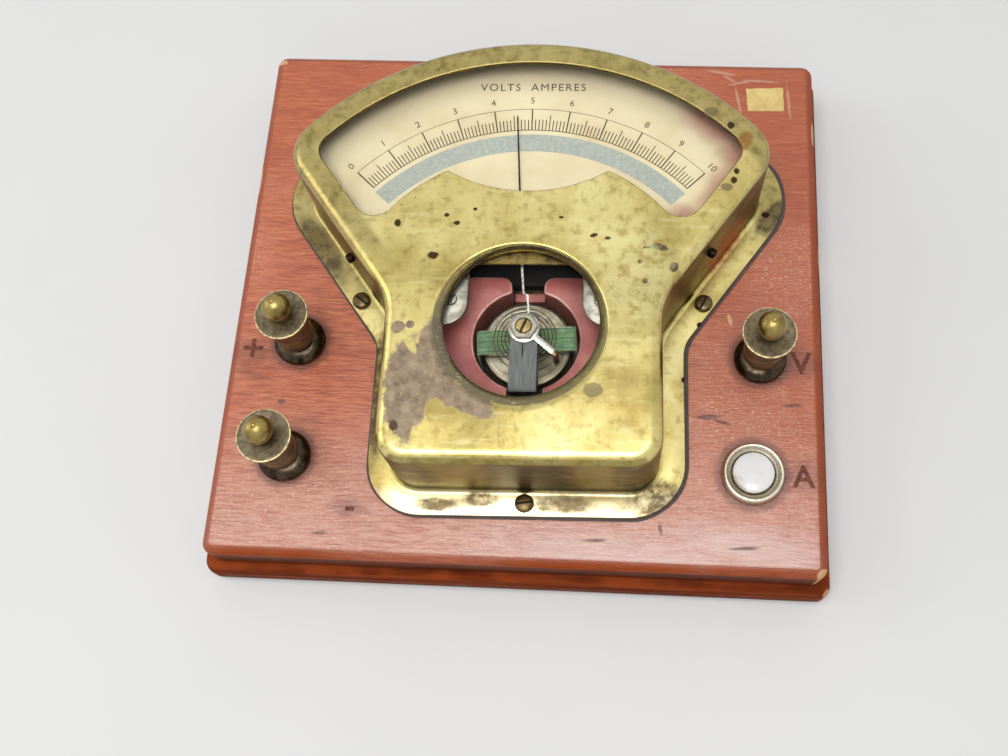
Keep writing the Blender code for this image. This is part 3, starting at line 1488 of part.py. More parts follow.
def pointer(frame):
    bm = bmesh.new()
    bore = STAFF_RADIUS + THREAD_PLAY
    low = POINTER_COLLAR_LOW
    ring(bm, bore, POINTER_COLLAR_RADIUS, low, low + POINTER_COLLAR_THICKNESS, ROUND_STEPS)
    hand = solid("pointer", bm, pointer_metal(), frame, True)
    for name, sections in zip(("tail", "blade"), pointer_sections()):
        bm = bmesh.new()
        strip(bm, sections)
        join(hand, tool(f"pointer_{name}_tool", bm, frame))
    return hand


def balance_weight(frame):
    middle = POINTER_COLLAR_LOW + POINTER_THICKNESS
    rings = []
    sizes = ((WEIGHT_BORE_HALF_WIDTH, WEIGHT_BORE_HALF_HEIGHT), (WEIGHT_HALF_WIDTH, WEIGHT_HALF_HEIGHT))
    order = ((0, -1.0), (1, -1.0), (1, 1.0), (0, 1.0))
    for which, sign in order:
        half_x, half_z = sizes[which]
        y = WEIGHT_Y + sign * WEIGHT_HALF_LENGTH
        rings.append([(x * half_x, y, middle + z * half_z) for x, z in ((-1, -1), (1, -1), (1, 1), (-1, 1))])
    bm = bmesh.new()
    loft(bm, rings, True)
    return solid("balance_weight", bm, inner_brass(), frame)


def spiral(inner, turns, pitch, end_radius, end_deg, z):
    """A flat spiral that opens out at its end towards a fixed place."""
    count = turns * CURL_POINTS
    points = []
    for index in range(count + 1):
        radius = inner + pitch * index / CURL_POINTS
        degrees = end_deg - 360.0 * SPRING_END_POINTS / CURL_POINTS - 360.0 * (count - index) / CURL_POINTS
        points.append((*polar(radius, degrees), z))
    outer = inner + pitch * turns
    for step in range(1, SPRING_END_POINTS + 1):
        share = step / SPRING_END_POINTS
        radius = outer + (end_radius - outer) * share
        degrees = end_deg - 360.0 * (SPRING_END_POINTS - step) / CURL_POINTS
        points.append((*polar(radius, degrees), z))
    return points


def upper_hairspring(frame):
    path = spiral(
        HAIRSPRING_INNER_RADIUS, HAIRSPRING_TURNS, HAIRSPRING_PITCH,
        HAIRSPRING_END_RADIUS, LEVER_DEG, HAIRSPRING_HEIGHT,
    )
    print_least_gap("upper_hairspring", path, HAIRSPRING_WIRE_RADIUS, CURL_POINTS)
    return tube("upper_hairspring", [path], HAIRSPRING_WIRE_RADIUS, spring_bronze(), frame)


def lower_hairspring(frame):
    path = spiral(
        LOWER_SPRING_INNER_RADIUS, LOWER_SPRING_TURNS, HAIRSPRING_PITCH,
        LOWER_SPRING_END_RADIUS, LOWER_ANCHOR_DEG, LOWER_SPRING_HEIGHT,
    )
    print_least_gap("lower_hairspring", path, HAIRSPRING_WIRE_RADIUS, CURL_POINTS)
    return tube("lower_hairspring", [path], HAIRSPRING_WIRE_RADIUS, spring_bronze(), frame)


def lower_spring_anchor(frame):
    bm = bmesh.new()
    place = at(*polar(LOWER_ANCHOR_REACH, LOWER_ANCHOR_DEG))
    rod(bm, LOWER_ANCHOR_RADIUS, magnet_low(), LOWER_ANCHOR_HIGH, FINE_STEPS, place)
    return solid("lower_spring_anchor", bm, inner_brass(), frame, True)


# Bridge and zero lever

def bridge(frame):
    outline = [(BRIDGE_BACK_Y, BRIDGE_HIGH), (BRIDGE_FRONT_Y, BRIDGE_HIGH), (BRIDGE_FRONT_Y, magnet_low())]
    outline += [(BRIDGE_LEG_Y, magnet_low()), (BRIDGE_LEG_Y, BRIDGE_GUSSET_LOW)]
    outline += [(BRIDGE_GUSSET_Y, BRIDGE_LOW), (BRIDGE_BACK_Y, BRIDGE_LOW)]
    bm = bmesh.new()
    side_slab(bm, outline, -BRIDGE_HALF_WIDTH, BRIDGE_HALF_WIDTH, BRIDGE_EDGE)
    bar = solid("bridge", bm, black_bar(), frame)
    bm = bmesh.new()
    rod(bm, JEWEL_RADIUS + THREAD_PLAY, BRIDGE_LOW - CUT_OVERRUN, BRIDGE_HIGH + CUT_OVERRUN, BORE_STEPS * 2)
    radius = BRIDGE_SCREW_SHANK_RADIUS + THREAD_PLAY
    low = magnet_low() - CUT_OVERRUN
    rod(bm, radius, low, BRIDGE_SCREW_HIGH + REST_GAP, ROUND_STEPS, at(0.0, BRIDGE_SCREW_Y))
    slit_left = BRIDGE_SLIT_X - BRIDGE_SLIT_HALF_WIDTH
    slit_right = BRIDGE_SLIT_X + BRIDGE_SLIT_HALF_WIDTH
    low = BRIDGE_LOW - CUT_OVERRUN
    high = BRIDGE_HIGH + CUT_OVERRUN
    box(bm, slit_left, slit_right, BRIDGE_SLIT_FRONT_Y, BRIDGE_SLIT_BACK_Y, low, high)
    cut(bar, tool("bridge_tool", bm, frame))
    return bar


def bridge_screw(frame):
    seat = MOVEMENT_PLATE_LOW - REST_GAP
    under = seat - BRIDGE_SCREW_HEAD_HEIGHT
    profile = [(0.0, under), (BRIDGE_SCREW_HEAD_RADIUS, under), (BRIDGE_SCREW_HEAD_RADIUS, seat)]
    shank = BRIDGE_SCREW_SHANK_RADIUS
    profile += [(shank, seat), (shank, BRIDGE_SCREW_HIGH), (0.0, BRIDGE_SCREW_HIGH)]
    bm = bmesh.new()
    turned(bm, profile, ROUND_STEPS, at(0.0, BRIDGE_SCREW_Y))
    return solid("bridge_screw", bm, bright_steel(), frame, True)


def jewel_screw(frame):
    shoulder = JEWEL_RADIUS - JEWEL_EDGE
    profile = [(0.0, JEWEL_CUP_HIGH), (JEWEL_CUP_RADIUS, JEWEL_LOW), (JEWEL_RADIUS, JEWEL_LOW)]
    profile += [(JEWEL_RADIUS, JEWEL_HIGH - JEWEL_EDGE), (shoulder, JEWEL_HIGH), (0.0, JEWEL_HIGH)]
    bm = bmesh.new()
    turned(bm, profile, BORE_STEPS * 2)
    screw = solid("jewel_screw", bm, inner_brass(), frame, True)
    bm = bmesh.new()
    slot_cut(bm, JEWEL_RADIUS, JEWEL_HIGH, JEWEL_SLOT_DEG, Matrix())
    cut(screw, tool("jewel_slot_tool", bm, frame))
    return screw


def lower_jewel_screw(frame):
    profile = [(0.0, LOWER_CUP_LOW), (JEWEL_CUP_RADIUS, LOWER_JEWEL_HIGH)]
    profile += [(LOWER_JEWEL_RADIUS, LOWER_JEWEL_HIGH), (LOWER_JEWEL_RADIUS, LOWER_JEWEL_LOW)]
    profile += [(0.0, LOWER_JEWEL_LOW)]
    bm = bmesh.new()
    turned(bm, profile, ROUND_STEPS)
    return solid("lower_jewel_screw", bm, inner_brass(), frame, True)


def bridge_nut(frame):
    bm = bmesh.new()
    slab(bm, hexagon(NUT_ACROSS_FLATS), NUT_LOW, NUT_HIGH)
    nut = solid("bridge_nut", bm, bright_steel(), frame)
    bm = bmesh.new()
    rod(bm, JEWEL_RADIUS + THREAD_PLAY, NUT_LOW - CUT_OVERRUN, NUT_HIGH + CUT_OVERRUN, BORE_STEPS * 2)
    cut(nut, tool("nut_tool", bm, frame))
    return nut


def lever_outline():
    half_deg = math.degrees(math.asin(LEVER_ARM_HALF_WIDTH / LEVER_RING_RADIUS))
    points = arc((0.0, 0.0), LEVER_RING_RADIUS, half_deg, 360.0 - half_deg, BORE_STEPS * 2)
    points += [(LEVER_REACH, -LEVER_ARM_HALF_WIDTH), (LEVER_REACH, LEVER_ARM_HALF_WIDTH)]
    return points


def zero_lever(frame):
    place = turn_z(LEVER_DEG)
    bm = bmesh.new()
    slab(bm, lever_outline(), LEVER_LOW, LEVER_HIGH, place=place)
    lever = solid("zero_lever", bm, bright_steel(), frame)
    bm = bmesh.new()
    high = LEVER_LOW + LEVER_LEG_OVERLAP
    half = LEVER_LEG_HALF_WIDTH
    box(bm, LEVER_LEG_NEAR, LEVER_LEG_FAR, -half, half, LEVER_LEG_LOW, high, place)
    join(lever, tool("lever_leg_tool", bm, frame))
    bm = bmesh.new()
    rod(bm, JEWEL_RADIUS + THREAD_PLAY, LEVER_LOW - CUT_OVERRUN, LEVER_HIGH + CUT_OVERRUN, BORE_STEPS * 2)
    cut(lever, tool("lever_hole_tool", bm, frame))
    return lever


# Binding posts

def from_left(inset):
    return inset - BOARD_LENGTH / 2.0


def from_right(inset):
    return BOARD_LENGTH / 2.0 - inset


def from_front(inset):
    return inset - BOARD_DEPTH / 2.0


def post_places():
    left = from_left(POST_LEFT_INSET)
    return {
        "1": (left, from_front(POST_1_FRONT_INSET)),
        "2": (left, from_front(POST_2_FRONT_INSET)),
        "3": (from_right(POST_RIGHT_INSET), from_front(POST_3_FRONT_INSET)),
    }


def button_centre():
    return from_right(BUTTON_RIGHT_INSET), from_front(BUTTON_FRONT_INSET)


def post_foot(name, frame):
    low = REST_GAP
    profile = [(0.0, STUD_LOW), (STUD_RADIUS, STUD_LOW), (STUD_RADIUS, low)]
    profile += shares_profile(POST_FOOT_SHARES, POST_FOOT_RADIUS, low, POST_FOOT_HEIGHT)
    profile += [(STUD_RADIUS, low + POST_FOOT_HEIGHT), (STUD_RADIUS, STUD_HIGH), (0.0, STUD_HIGH)]
    bm = bmesh.new()
    turned(bm, profile, FOOT_STEPS)
    return solid(f"post_foot_{name}", bm, dark_brass(), frame, True)


def washer_low():
    return REST_GAP + POST_FOOT_HEIGHT + REST_GAP


def post_nut_low():
    return washer_low() + POST_WASHER_THICKNESS + REST_GAP


def post_washer(name, frame):
    bm = bmesh.new()
    high = washer_low() + POST_WASHER_THICKNESS
    ring(bm, STUD_RADIUS + THREAD_PLAY, POST_WASHER_RADIUS, washer_low(), high, FOOT_STEPS)
    return solid(f"post_washer_{name}", bm, dark_brass(), frame, True)


def ball_profile():
    """From the neck round to the dimple in the crown."""
    crown = math.degrees(math.acos(POST_DIMPLE_RADIUS / POST_BALL_RADIUS))
    points = arc((0.0, POST_BALL_HEIGHT), POST_BALL_RADIUS, POST_BALL_NECK_DEG, crown, POST_BALL_STEPS)
    top = POST_BALL_HEIGHT + POST_BALL_RADIUS
    return points + [(0.0, top - POST_DIMPLE_DEPTH)]


def post_nut(name, frame):
    low = post_nut_low()
    bore = STUD_RADIUS + THREAD_PLAY
    profile = [(0.0, POST_BORE_HIGH), (bore, POST_BORE_HIGH), (bore, low)]
    profile += shares_profile(POST_NUT_SHARES, POST_NUT_RADIUS, low, POST_NUT_HEIGHT)
    profile += ball_profile()
    bm = bmesh.new()
    turned(bm, profile, POST_STEPS)
    return solid(f"post_nut_{name}", bm, post_brass(), frame, True)


def strip_high():
    return -BOARD_THICKNESS - REST_GAP


def strip_low():
    return strip_high() - STRIP_THICKNESS


def shunt_strip(frame):
    first = post_places()["1"]
    second = post_places()["2"]
    half = STRIP_HALF_WIDTH
    x = first[0]
    bm = bmesh.new()
    box(bm, x - half, x + half, second[1] - half, first[1] + half, strip_low(), strip_high())
    strip_piece = solid("shunt_strip", bm, grey_metal(), frame)
    bm = bmesh.new()
    for x, y in (first, second):
        radius = STUD_RADIUS + THREAD_PLAY
        rod(bm, radius, strip_low() - CUT_OVERRUN, strip_high() + CUT_OVERRUN, ROUND_STEPS, at(x, y))
    cut(strip_piece, tool("shunt_tool", bm, frame))
    return strip_piece


# Push button

def button_ring(frame):
    low = REST_GAP
    profile = shares_profile(BUTTON_RING_SHARES, BUTTON_RING_RADIUS, low, BUTTON_RING_HEIGHT)
    profile += [(BUTTON_BORE_RADIUS, BUTTON_FLOOR_HIGH), (BUTTON_STEM_HOLE_RADIUS, BUTTON_FLOOR_HIGH)]
    profile += [(BUTTON_STEM_HOLE_RADIUS, BUTTON_FLOOR_LOW), (BUTTON_BARREL_RADIUS, BUTTON_FLOOR_LOW)]
    profile += [(BUTTON_BARREL_RADIUS, low)]
    bm = bmesh.new()
    turned(bm, profile, BUTTON_STEPS, is_loop=True)
    return solid("button_ring", bm, plated_ring(), frame, True)


def button_cap(frame):
    shoulder = BUTTON_CAP_RADIUS - BUTTON_CAP_EDGE
    stem = BUTTON_STEM_RADIUS
    profile = [(0.0, BUTTON_STEM_LOW), (stem, BUTTON_STEM_LOW), (stem, BUTTON_CAP_LOW)]
    profile += [(BUTTON_CAP_RADIUS, BUTTON_CAP_LOW), (BUTTON_CAP_RADIUS, BUTTON_CAP_SIDE)]
    profile += [(shoulder, BUTTON_CAP_HIGH - BUTTON_CAP_EDGE / 2.0), (0.0, BUTTON_CAP_HIGH)]
    bm = bmesh.new()
    turned(bm, profile, BUTTON_STEPS)
    return solid("button_cap", bm, white_button(), frame, True)


def button_spring(frame):
    low = BUTTON_FLOOR_HIGH + REST_GAP + BUTTON_SPRING_WIRE_RADIUS
    high = BUTTON_CAP_LOW - REST_GAP - BUTTON_SPRING_WIRE_RADIUS
    count = int(BUTTON_SPRING_TURNS * CURL_POINTS)
    path = []
    for index in range(count + 1):
        x, y = polar(BUTTON_SPRING_RADIUS, 360.0 * index / CURL_POINTS)
        path.append((x, y, low + (high - low) * index / count))
    print_least_gap("button_spring", path, BUTTON_SPRING_WIRE_RADIUS, CURL_POINTS)
    return tube("button_spring", [path], BUTTON_SPRING_WIRE_RADIUS, bright_steel(), frame)


def contact_high():
    return BUTTON_STEM_LOW - BUTTON_TRAVEL - CONTACT_CLEARANCE


def contact_leaf(frame):
    high = contact_high()
    half = CONTACT_HALF_WIDTH
    bm = bmesh.new()
    box(bm, -half, half, -CONTACT_FRONT_REACH, CONTACT_BACK_REACH, high - CONTACT_THICKNESS, high)
    return solid("contact_leaf", bm, spring_bronze(), frame)


def contact_block(frame):
    low = contact_high() + REST_GAP
    high = -BOARD_THICKNESS - REST_GAP
    half = BLOCK_HALF_WIDTH
    bm = bmesh.new()
    box(bm, -half, half, BLOCK_NEAR, BLOCK_FAR, low, high)
    return solid("contact_block", bm, fibre(), frame)


# Resistor

def spool_place():
    lie = Matrix.Rotation(math.radians(-90.0), 4, "X")
    z = -BOARD_THICKNESS - REST_GAP - SPOOL_CHEEK_RADIUS
    return at(from_right(SPOOL_RIGHT_INSET), SPOOL_Y, z) @ lie


def resistor_spool(frame):
    end = SPOOL_HALF_LENGTH
    inner = SPOOL_HALF_LENGTH - SPOOL_CHEEK_THICKNESS
    cheek = SPOOL_CHEEK_RADIUS
    body = SPOOL_BODY_RADIUS
    profile = [(0.0, -end), (cheek, -end), (cheek, -inner), (body, -inner)]
    profile += [(body, inner), (cheek, inner), (cheek, end), (0.0, end)]
    bm = bmesh.new()
    turned(bm, profile, ROUND_STEPS, spool_place())
    return solid("resistor_spool", bm, spool_wood(), frame, True)


def resistor_winding(frame):
    radius = SPOOL_BODY_RADIUS + 2.0 * WIRE_GAP + SPOOL_WIRE_RADIUS
    count = SPOOL_LOOPS * WIRE_TURN_POINTS
    path = []
    for index in range(count + 1):
        x, y = polar(radius, 360.0 * index / WIRE_TURN_POINTS)
        along = SPOOL_WIRE_PITCH * (index / WIRE_TURN_POINTS - SPOOL_LOOPS / 2.0)
        path.append(tuple(spool_place() @ Vector((x, y, along))))
    print_least_gap("resistor_winding", path, SPOOL_WIRE_RADIUS, WIRE_TURN_POINTS)
    return tube("resistor_winding", [path], SPOOL_WIRE_RADIUS, resistor_silk(), frame)


# Assembly

def build_base(wood, instrument):
    base_board(instrument)
    base_plinth()
    bottom_plate()
    shunt_strip(wood)
    resistor_spool(wood)
    resistor_winding(wood)


def build_cover(instrument):
    cover_gasket(instrument)
    brass_cover(instrument)
    for index in range(3):
        cover_screw(index, instrument)
    for name in side_screw_distances():
        side_screw(name, instrument)
    dial_glass(instrument)
    movement_glass(instrument)
    glass_strap(instrument)
    glass_packing(instrument)
    movement_glass_clip(instrument)


def build_scale(instrument):
    scale_plate(instrument)
    scale_card(instrument)
    for index in range(2):
        scale_screw(index, instrument)
        inner_scale_pillar(index, instrument)
        outer_scale_pillar(index, instrument)


def build_movement(instrument):
    movement_base_plate(instrument)
    magnet(instrument)
    pole_spacer(instrument)
    iron_core(instrument)
    core_bracket(instrument)
    bridge(instrument)
    bridge_screw(instrument)
    jewel_screw(instrument)
    lower_jewel_screw(instrument)
    bridge_nut(instrument)
    zero_lever(instrument)
    lower_spring_anchor(instrument)
    upper_hairspring(instrument)
    lower_hairspring(instrument)


def build_moving_coil(swing):
    coil_former(swing)
    coil_winding(swing)
    upper_staff(swing)
    lower_staff(swing)
    pointer(swing)
    balance_weight(swing)


def build_posts():
    for name, (x, y) in post_places().items():
        place = empty(f"post_place_{name}", at(x, y, WOOD_TOP))
        post_foot(name, place)
        post_washer(name, place)
        post_nut(name, place)


def build_button():
    place = empty("button_place", at(*button_centre(), WOOD_TOP))
    button_ring(place)
    button_cap(place)
    button_spring(place)
    contact_leaf(place)
    contact_block(place)


def main():
    clear_scene()
    wood = empty("wood_top", at(0.0, 0.0, WOOD_TOP))
    stand = at(PIVOT_X, PIVOT_Y, WOOD_TOP) @ turn_z(INSTRUMENT_YAW_DEG)
    instrument = empty("instrument_frame", stand)
    swing = empty("swing_frame", stand @ turn_z(READING_TURN_DEG))
    build_base(wood, instrument)
    build_cover(instrument)
    build_scale(instrument)
    build_movement(instrument)
    build_moving_coil(swing)
    build_posts()
    build_button()


main()
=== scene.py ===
"""Looks of an old bench volt-ammeter: red wood, tarnished brass, a painted magnet and a printed scale.

Shapes are drawn in millimetres. The instrument is laid out from its pivot, with heights from the top of the wood.
"""

import json
import math

import bmesh
import bpy
from mathutils import Matrix, Vector
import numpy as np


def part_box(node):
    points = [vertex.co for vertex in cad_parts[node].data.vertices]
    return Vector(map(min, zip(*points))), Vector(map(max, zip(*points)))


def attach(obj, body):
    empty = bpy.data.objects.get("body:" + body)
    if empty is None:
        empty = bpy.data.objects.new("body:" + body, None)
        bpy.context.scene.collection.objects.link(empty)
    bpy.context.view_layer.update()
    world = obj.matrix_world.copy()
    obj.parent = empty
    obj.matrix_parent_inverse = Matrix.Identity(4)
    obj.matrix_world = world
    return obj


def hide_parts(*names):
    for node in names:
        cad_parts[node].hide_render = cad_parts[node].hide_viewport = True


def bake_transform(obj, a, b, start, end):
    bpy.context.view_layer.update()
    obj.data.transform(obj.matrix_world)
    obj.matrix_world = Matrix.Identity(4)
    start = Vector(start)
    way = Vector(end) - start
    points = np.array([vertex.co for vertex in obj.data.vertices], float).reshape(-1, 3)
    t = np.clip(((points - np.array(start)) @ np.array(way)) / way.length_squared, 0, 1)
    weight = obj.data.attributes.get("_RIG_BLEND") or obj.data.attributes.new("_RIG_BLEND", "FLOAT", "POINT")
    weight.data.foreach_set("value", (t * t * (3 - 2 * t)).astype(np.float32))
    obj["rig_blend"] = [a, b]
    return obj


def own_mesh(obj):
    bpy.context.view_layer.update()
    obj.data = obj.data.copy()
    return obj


MM = 0.001
FLAT = 1000
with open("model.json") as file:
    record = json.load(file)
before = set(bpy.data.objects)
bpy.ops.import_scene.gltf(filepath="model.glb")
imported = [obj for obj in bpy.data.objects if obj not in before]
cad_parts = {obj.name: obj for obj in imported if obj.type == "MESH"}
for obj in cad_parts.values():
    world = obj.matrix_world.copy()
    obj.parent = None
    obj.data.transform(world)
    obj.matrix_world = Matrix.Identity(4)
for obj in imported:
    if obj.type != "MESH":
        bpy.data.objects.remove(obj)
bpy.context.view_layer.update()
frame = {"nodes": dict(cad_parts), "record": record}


# Places

def middle_of(node):
    low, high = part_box(node)
    return (low + high) / 2


def at(x, y, z=0):
    return Matrix.Translation((x, y, z))


def turn_z(degrees):
    return Matrix.Rotation(math.radians(degrees), 4, "Z")


PIVOT = middle_of("iron_core")
WOOD_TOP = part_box("base_board")[1].z
across_cover = middle_of("cover_screw_1") - middle_of("cover_screw_2")
YAW = math.atan2(across_cover.y, across_cover.x)
READING_DEG = 3.66
LEVER_DEG = -40.6
BENCH = Matrix.Scale(MM, 4)
WOOD = at(0, 0, WOOD_TOP) @ BENCH
STAND = at(PIVOT.x, PIVOT.y, WOOD_TOP) @ Matrix.Rotation(YAW, 4, "Z") @ BENCH
SWING = STAND @ turn_z(READING_DEG)
POSTS = {name: middle_of(f"post_nut_{name}") / MM for name in ("1", "2", "3")}
BUTTON = middle_of("button_ring") / MM


def wood_place(point):
    return WOOD @ at(point.x, point.y)


# Outlines

def polar(radius, degrees):
    return radius * math.cos(math.radians(degrees)), radius * math.sin(math.radians(degrees))


def arc(centre, radius, start_deg, end_deg, steps):
    turn = (end_deg - start_deg) / steps
    points = [polar(radius, start_deg + turn * step) for step in range(steps + 1)]
    return [(centre[0] + x, centre[1] + y) for x, y in points]


def circle(centre, radius, steps):
    return arc(centre, radius, 0, 360, steps)[:-1]


def direction_deg(vector):
    return math.degrees(math.atan2(vector[1], vector[0]))


def rounded(corners, steps, is_open=False):
    """Points round a list of (x, y, radius) corners."""
    points = []
    count = len(corners)
    for index, (x, y, radius) in enumerate(corners):
        if radius == 0 or (is_open and index in (0, count - 1)):
            points.append((x, y))
            continue
        here = Vector((x, y))
        back = (Vector(corners[index - 1][:2]) - here).normalized()
        ahead = (Vector(corners[(index + 1) % count][:2]) - here).normalized()
        half = back.angle(ahead) / 2
        centre = here + (back + ahead).normalized() * (radius / math.sin(half))
        begin = direction_deg(here + back * (radius / math.tan(half)) - centre)
        end = direction_deg(here + ahead * (radius / math.tan(half)) - centre)
        points.extend(arc(centre, radius, begin, begin + (end - begin + 180) % 360 - 180, steps))
    return points


def rectangle(half_x, half_y, radius, steps):
    corners = ((half_x, half_y), (-half_x, half_y), (-half_x, -half_y), (half_x, -half_y))
    return rounded([(x, y, radius) for x, y in corners], steps)


def mirrored(half):
    """A whole outline from its right half, which starts and ends on the middle line."""
    return half + [(-x, y) for x, y in reversed(half[1:-1])]


def ring(outline, change, z):
    """The outline moved outwards point for point, at a height."""
    moved = []
    for index, here in enumerate(outline):
        before = (Vector(here) - Vector(outline[index - 1])).normalized()
        after = (Vector(outline[(index + 1) % len(outline)]) - Vector(here)).normalized()
        side = Vector((before.y + after.y, -before.x - after.x)) * (change / (1 + before.dot(after)))
        moved.append((here[0] + side.x, here[1] + side.y, z))
    return moved


def quarter(steps):
    """1 - sine and 1 - cosine over a quarter turn, for a rounded edge."""
    angles = [math.pi / 2 * step / steps for step in range(steps + 1)]
    return [(1 - math.sin(angle), 1 - math.cos(angle)) for angle in angles]


def softened(points, rounds=2):
    """An open profile with its corners cut back, so that it turns smoothly."""
    for _ in range(rounds):
        cut = [points[0]]
        for (x, y), (end_x, end_y) in zip(points, points[1:]):
            cut += [(x + (end_x - x) * share, y + (end_y - y) * share) for share in (0.25, 0.75)]
        points = cut + [points[-1]]
    return points


# Meshes

def band(bm, low, high):
    """Faces from one ring to the next, either of which may be a single point."""
    count = max(len(low), len(high))
    for index in range(count):
        after = (index + 1) % count
        corners = (low[index % len(low)], low[after % len(low)], high[after % len(high)], high[index % len(high)])
        bm.faces.new(list(dict.fromkeys(corners)))


def tube(bm, rings, place=Matrix()):
    rows = [[bm.verts.new(place @ Vector(point)) for point in points] for points in rings]
    for low, high in zip(rows, rows[1:]):
        band(bm, low, high)
    return rows


def fill(bm, *rings):
    """A flat face inside the first ring and outside the others."""
    edges = []
    for points in rings:
        for first, last in zip(points, points[1:] + points[:1]):
            edges.append(bm.edges.get((first, last)) or bm.edges.new((first, last)))
    bmesh.ops.triangle_fill(bm, use_beauty=True, edges=edges)


def loft(rings, is_loop=False):
    """A solid through rings of points, closed at its ends or round into a loop."""
    bm = bmesh.new()
    rows = tube(bm, rings)
    if is_loop:
        band(bm, rows[-1], rows[0])
    else:
        bm.faces.new(rows[0])
        bm.faces.new(rows[-1])
    return bm


def slab(outline, low, high, edge=0, steps=2):
    """A plate, with rounded edges if edge is given."""
    rows = [(0, low), (0, high)]
    if edge:
        rows = [(-edge * sine, low + edge * cosine) for sine, cosine in quarter(steps)]
        rows += [(-edge * cosine, high - edge * sine) for sine, cosine in quarter(steps)]
    return loft([ring(outline, *row) for row in rows])


def box(x0, x1, y0, y1, z0, z1, edge=0):
    return slab([(x0, y0), (x1, y0), (x1, y1), (x0, y1)], z0, z1, edge)


def turned(profile, steps, is_loop=False):
    """A turned solid from (radius, height) points, closed on the axis or round a hole."""
    bm = bmesh.new()
    rings = []
    for radius, z in profile:
        rings.append([(x, y, z) for x, y in circle((0, 0), radius, steps if radius else 1)])
    rows = tube(bm, rings)
    if is_loop:
        band(bm, rows[-1], rows[0])
    return bm


def swept(path, radius, sides=8, flat=1, across=None):
    """A wire along a path. flat narrows it sideways, as on a spring's ribbon."""
    rings = []
    for index, here in enumerate(path):
        ahead = (Vector(path[min(index + 1, len(path) - 1)]) - Vector(path[max(index - 1, 0)])).normalized()
        up = Vector((0, 0, 1)) if abs(ahead.z) < 0.9 else Vector((0, 1, 0))
        side = across or ahead.cross(up).normalized()
        up = side.cross(ahead).normalized()
        points = circle((0, 0), radius, sides)
        rings.append([Vector(here) + side * (x * flat) + up * y for x, y in points])
    return loft(rings)


def moved(bm, place):
    bm.transform(place)
    return bm


def smoothed(mesh, sharp_deg, place):
    mesh.transform(place)
    mesh.shade_smooth()
    mesh.set_sharp_from_angle(angle=math.radians(sharp_deg))
    return mesh


def mesh_from(bm, sharp_deg=35, place=Matrix()):
    bmesh.ops.recalc_face_normals(bm, faces=bm.faces)
    mesh = bpy.data.meshes.new("shape")
    bm.to_mesh(mesh)
    bm.free()
    return smoothed(mesh, sharp_deg, place)


def linked(name, data):
    obj = bpy.data.objects.new(name, data)
    bpy.context.scene.collection.objects.link(obj)
    return obj


def plain_mesh(obj):
    """The mesh of an object after its modifiers. The object goes."""
    bpy.context.view_layer.update()
    mesh = bpy.data.meshes.new_from_object(obj.evaluated_get(bpy.context.evaluated_depsgraph_get()))
    bpy.data.objects.remove(obj, do_unlink=True)
    return mesh


def cut_mesh(bm, tools, sharp_deg, place=Matrix()):
    """The mesh with each tool's shape cut out of it."""
    body = linked("body", mesh_from(bm, sharp_deg))
    helpers = [linked("cutter", mesh_from(tool, sharp_deg)) for tool in tools]
    for helper in helpers:
        modifier = body.modifiers.new("cut", "BOOLEAN")
        modifier.operation = "DIFFERENCE"
        modifier.solver = "EXACT"
        modifier.object = helper
    mesh = plain_mesh(body)
    for helper in helpers:
        bpy.data.objects.remove(helper, do_unlink=True)
    return smoothed(mesh, sharp_deg, place)


def shown(name, mesh, look, replaces="", body="base"):
    """Puts a finished mesh on its body. It hides the frame pieces that it replaces."""
    mesh.name = name
    mesh.materials.clear()
    mesh.materials.append(FINISHES[look])
    obj = linked(name, mesh)
    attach(obj, body)
    if replaces:
        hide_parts(*replaces.split())
    return obj


def piece(name, bm, place, look, replaces="", body="base", sharp_deg=35):
    return shown(name, mesh_from(bm, sharp_deg, place), look, replaces, body)


def joined(name, meshes, place, look, replaces="", body="base"):
    """Shows several meshes as one piece."""
    bm = bmesh.new()
    for mesh in meshes:
        bm.from_mesh(mesh)
        bpy.data.meshes.remove(mesh)
    whole = bpy.data.meshes.new(name)
    bm.to_mesh(whole)
    bm.free()
    whole.transform(place)
    return shown(name, whole, look, replaces, body)


# Nodes

def tint(red, green, blue):
    """A colour as it looks on a screen, for a shader."""
    return tuple(((c + 0.055) / 1.055) ** 2.4 if c > 0.04045 else c / 12.92 for c in (red, green, blue)) + (1,)


def put(socket, value):
    """Links or sets a node's input. A colour may be red, green and blue as seen on a screen."""
    if isinstance(value, Value):
        socket.id_data.links.new(value.socket, socket)
    elif socket.type == "RGBA" and len(value) == 3:
        socket.default_value = tint(*value)
    else:
        socket.default_value = value


def add(tree, kind, inputs=(), out=0, **settings):
    """A new node with its inputs, by name or in order. Gives one of its outputs."""
    node = tree.nodes.new(kind)
    for key, value in settings.items():
        setattr(node, key, value)
    for key, value in inputs.items() if isinstance(inputs, dict) else enumerate(inputs):
        put(node.inputs[key], value)
    return Value(node.outputs[out])


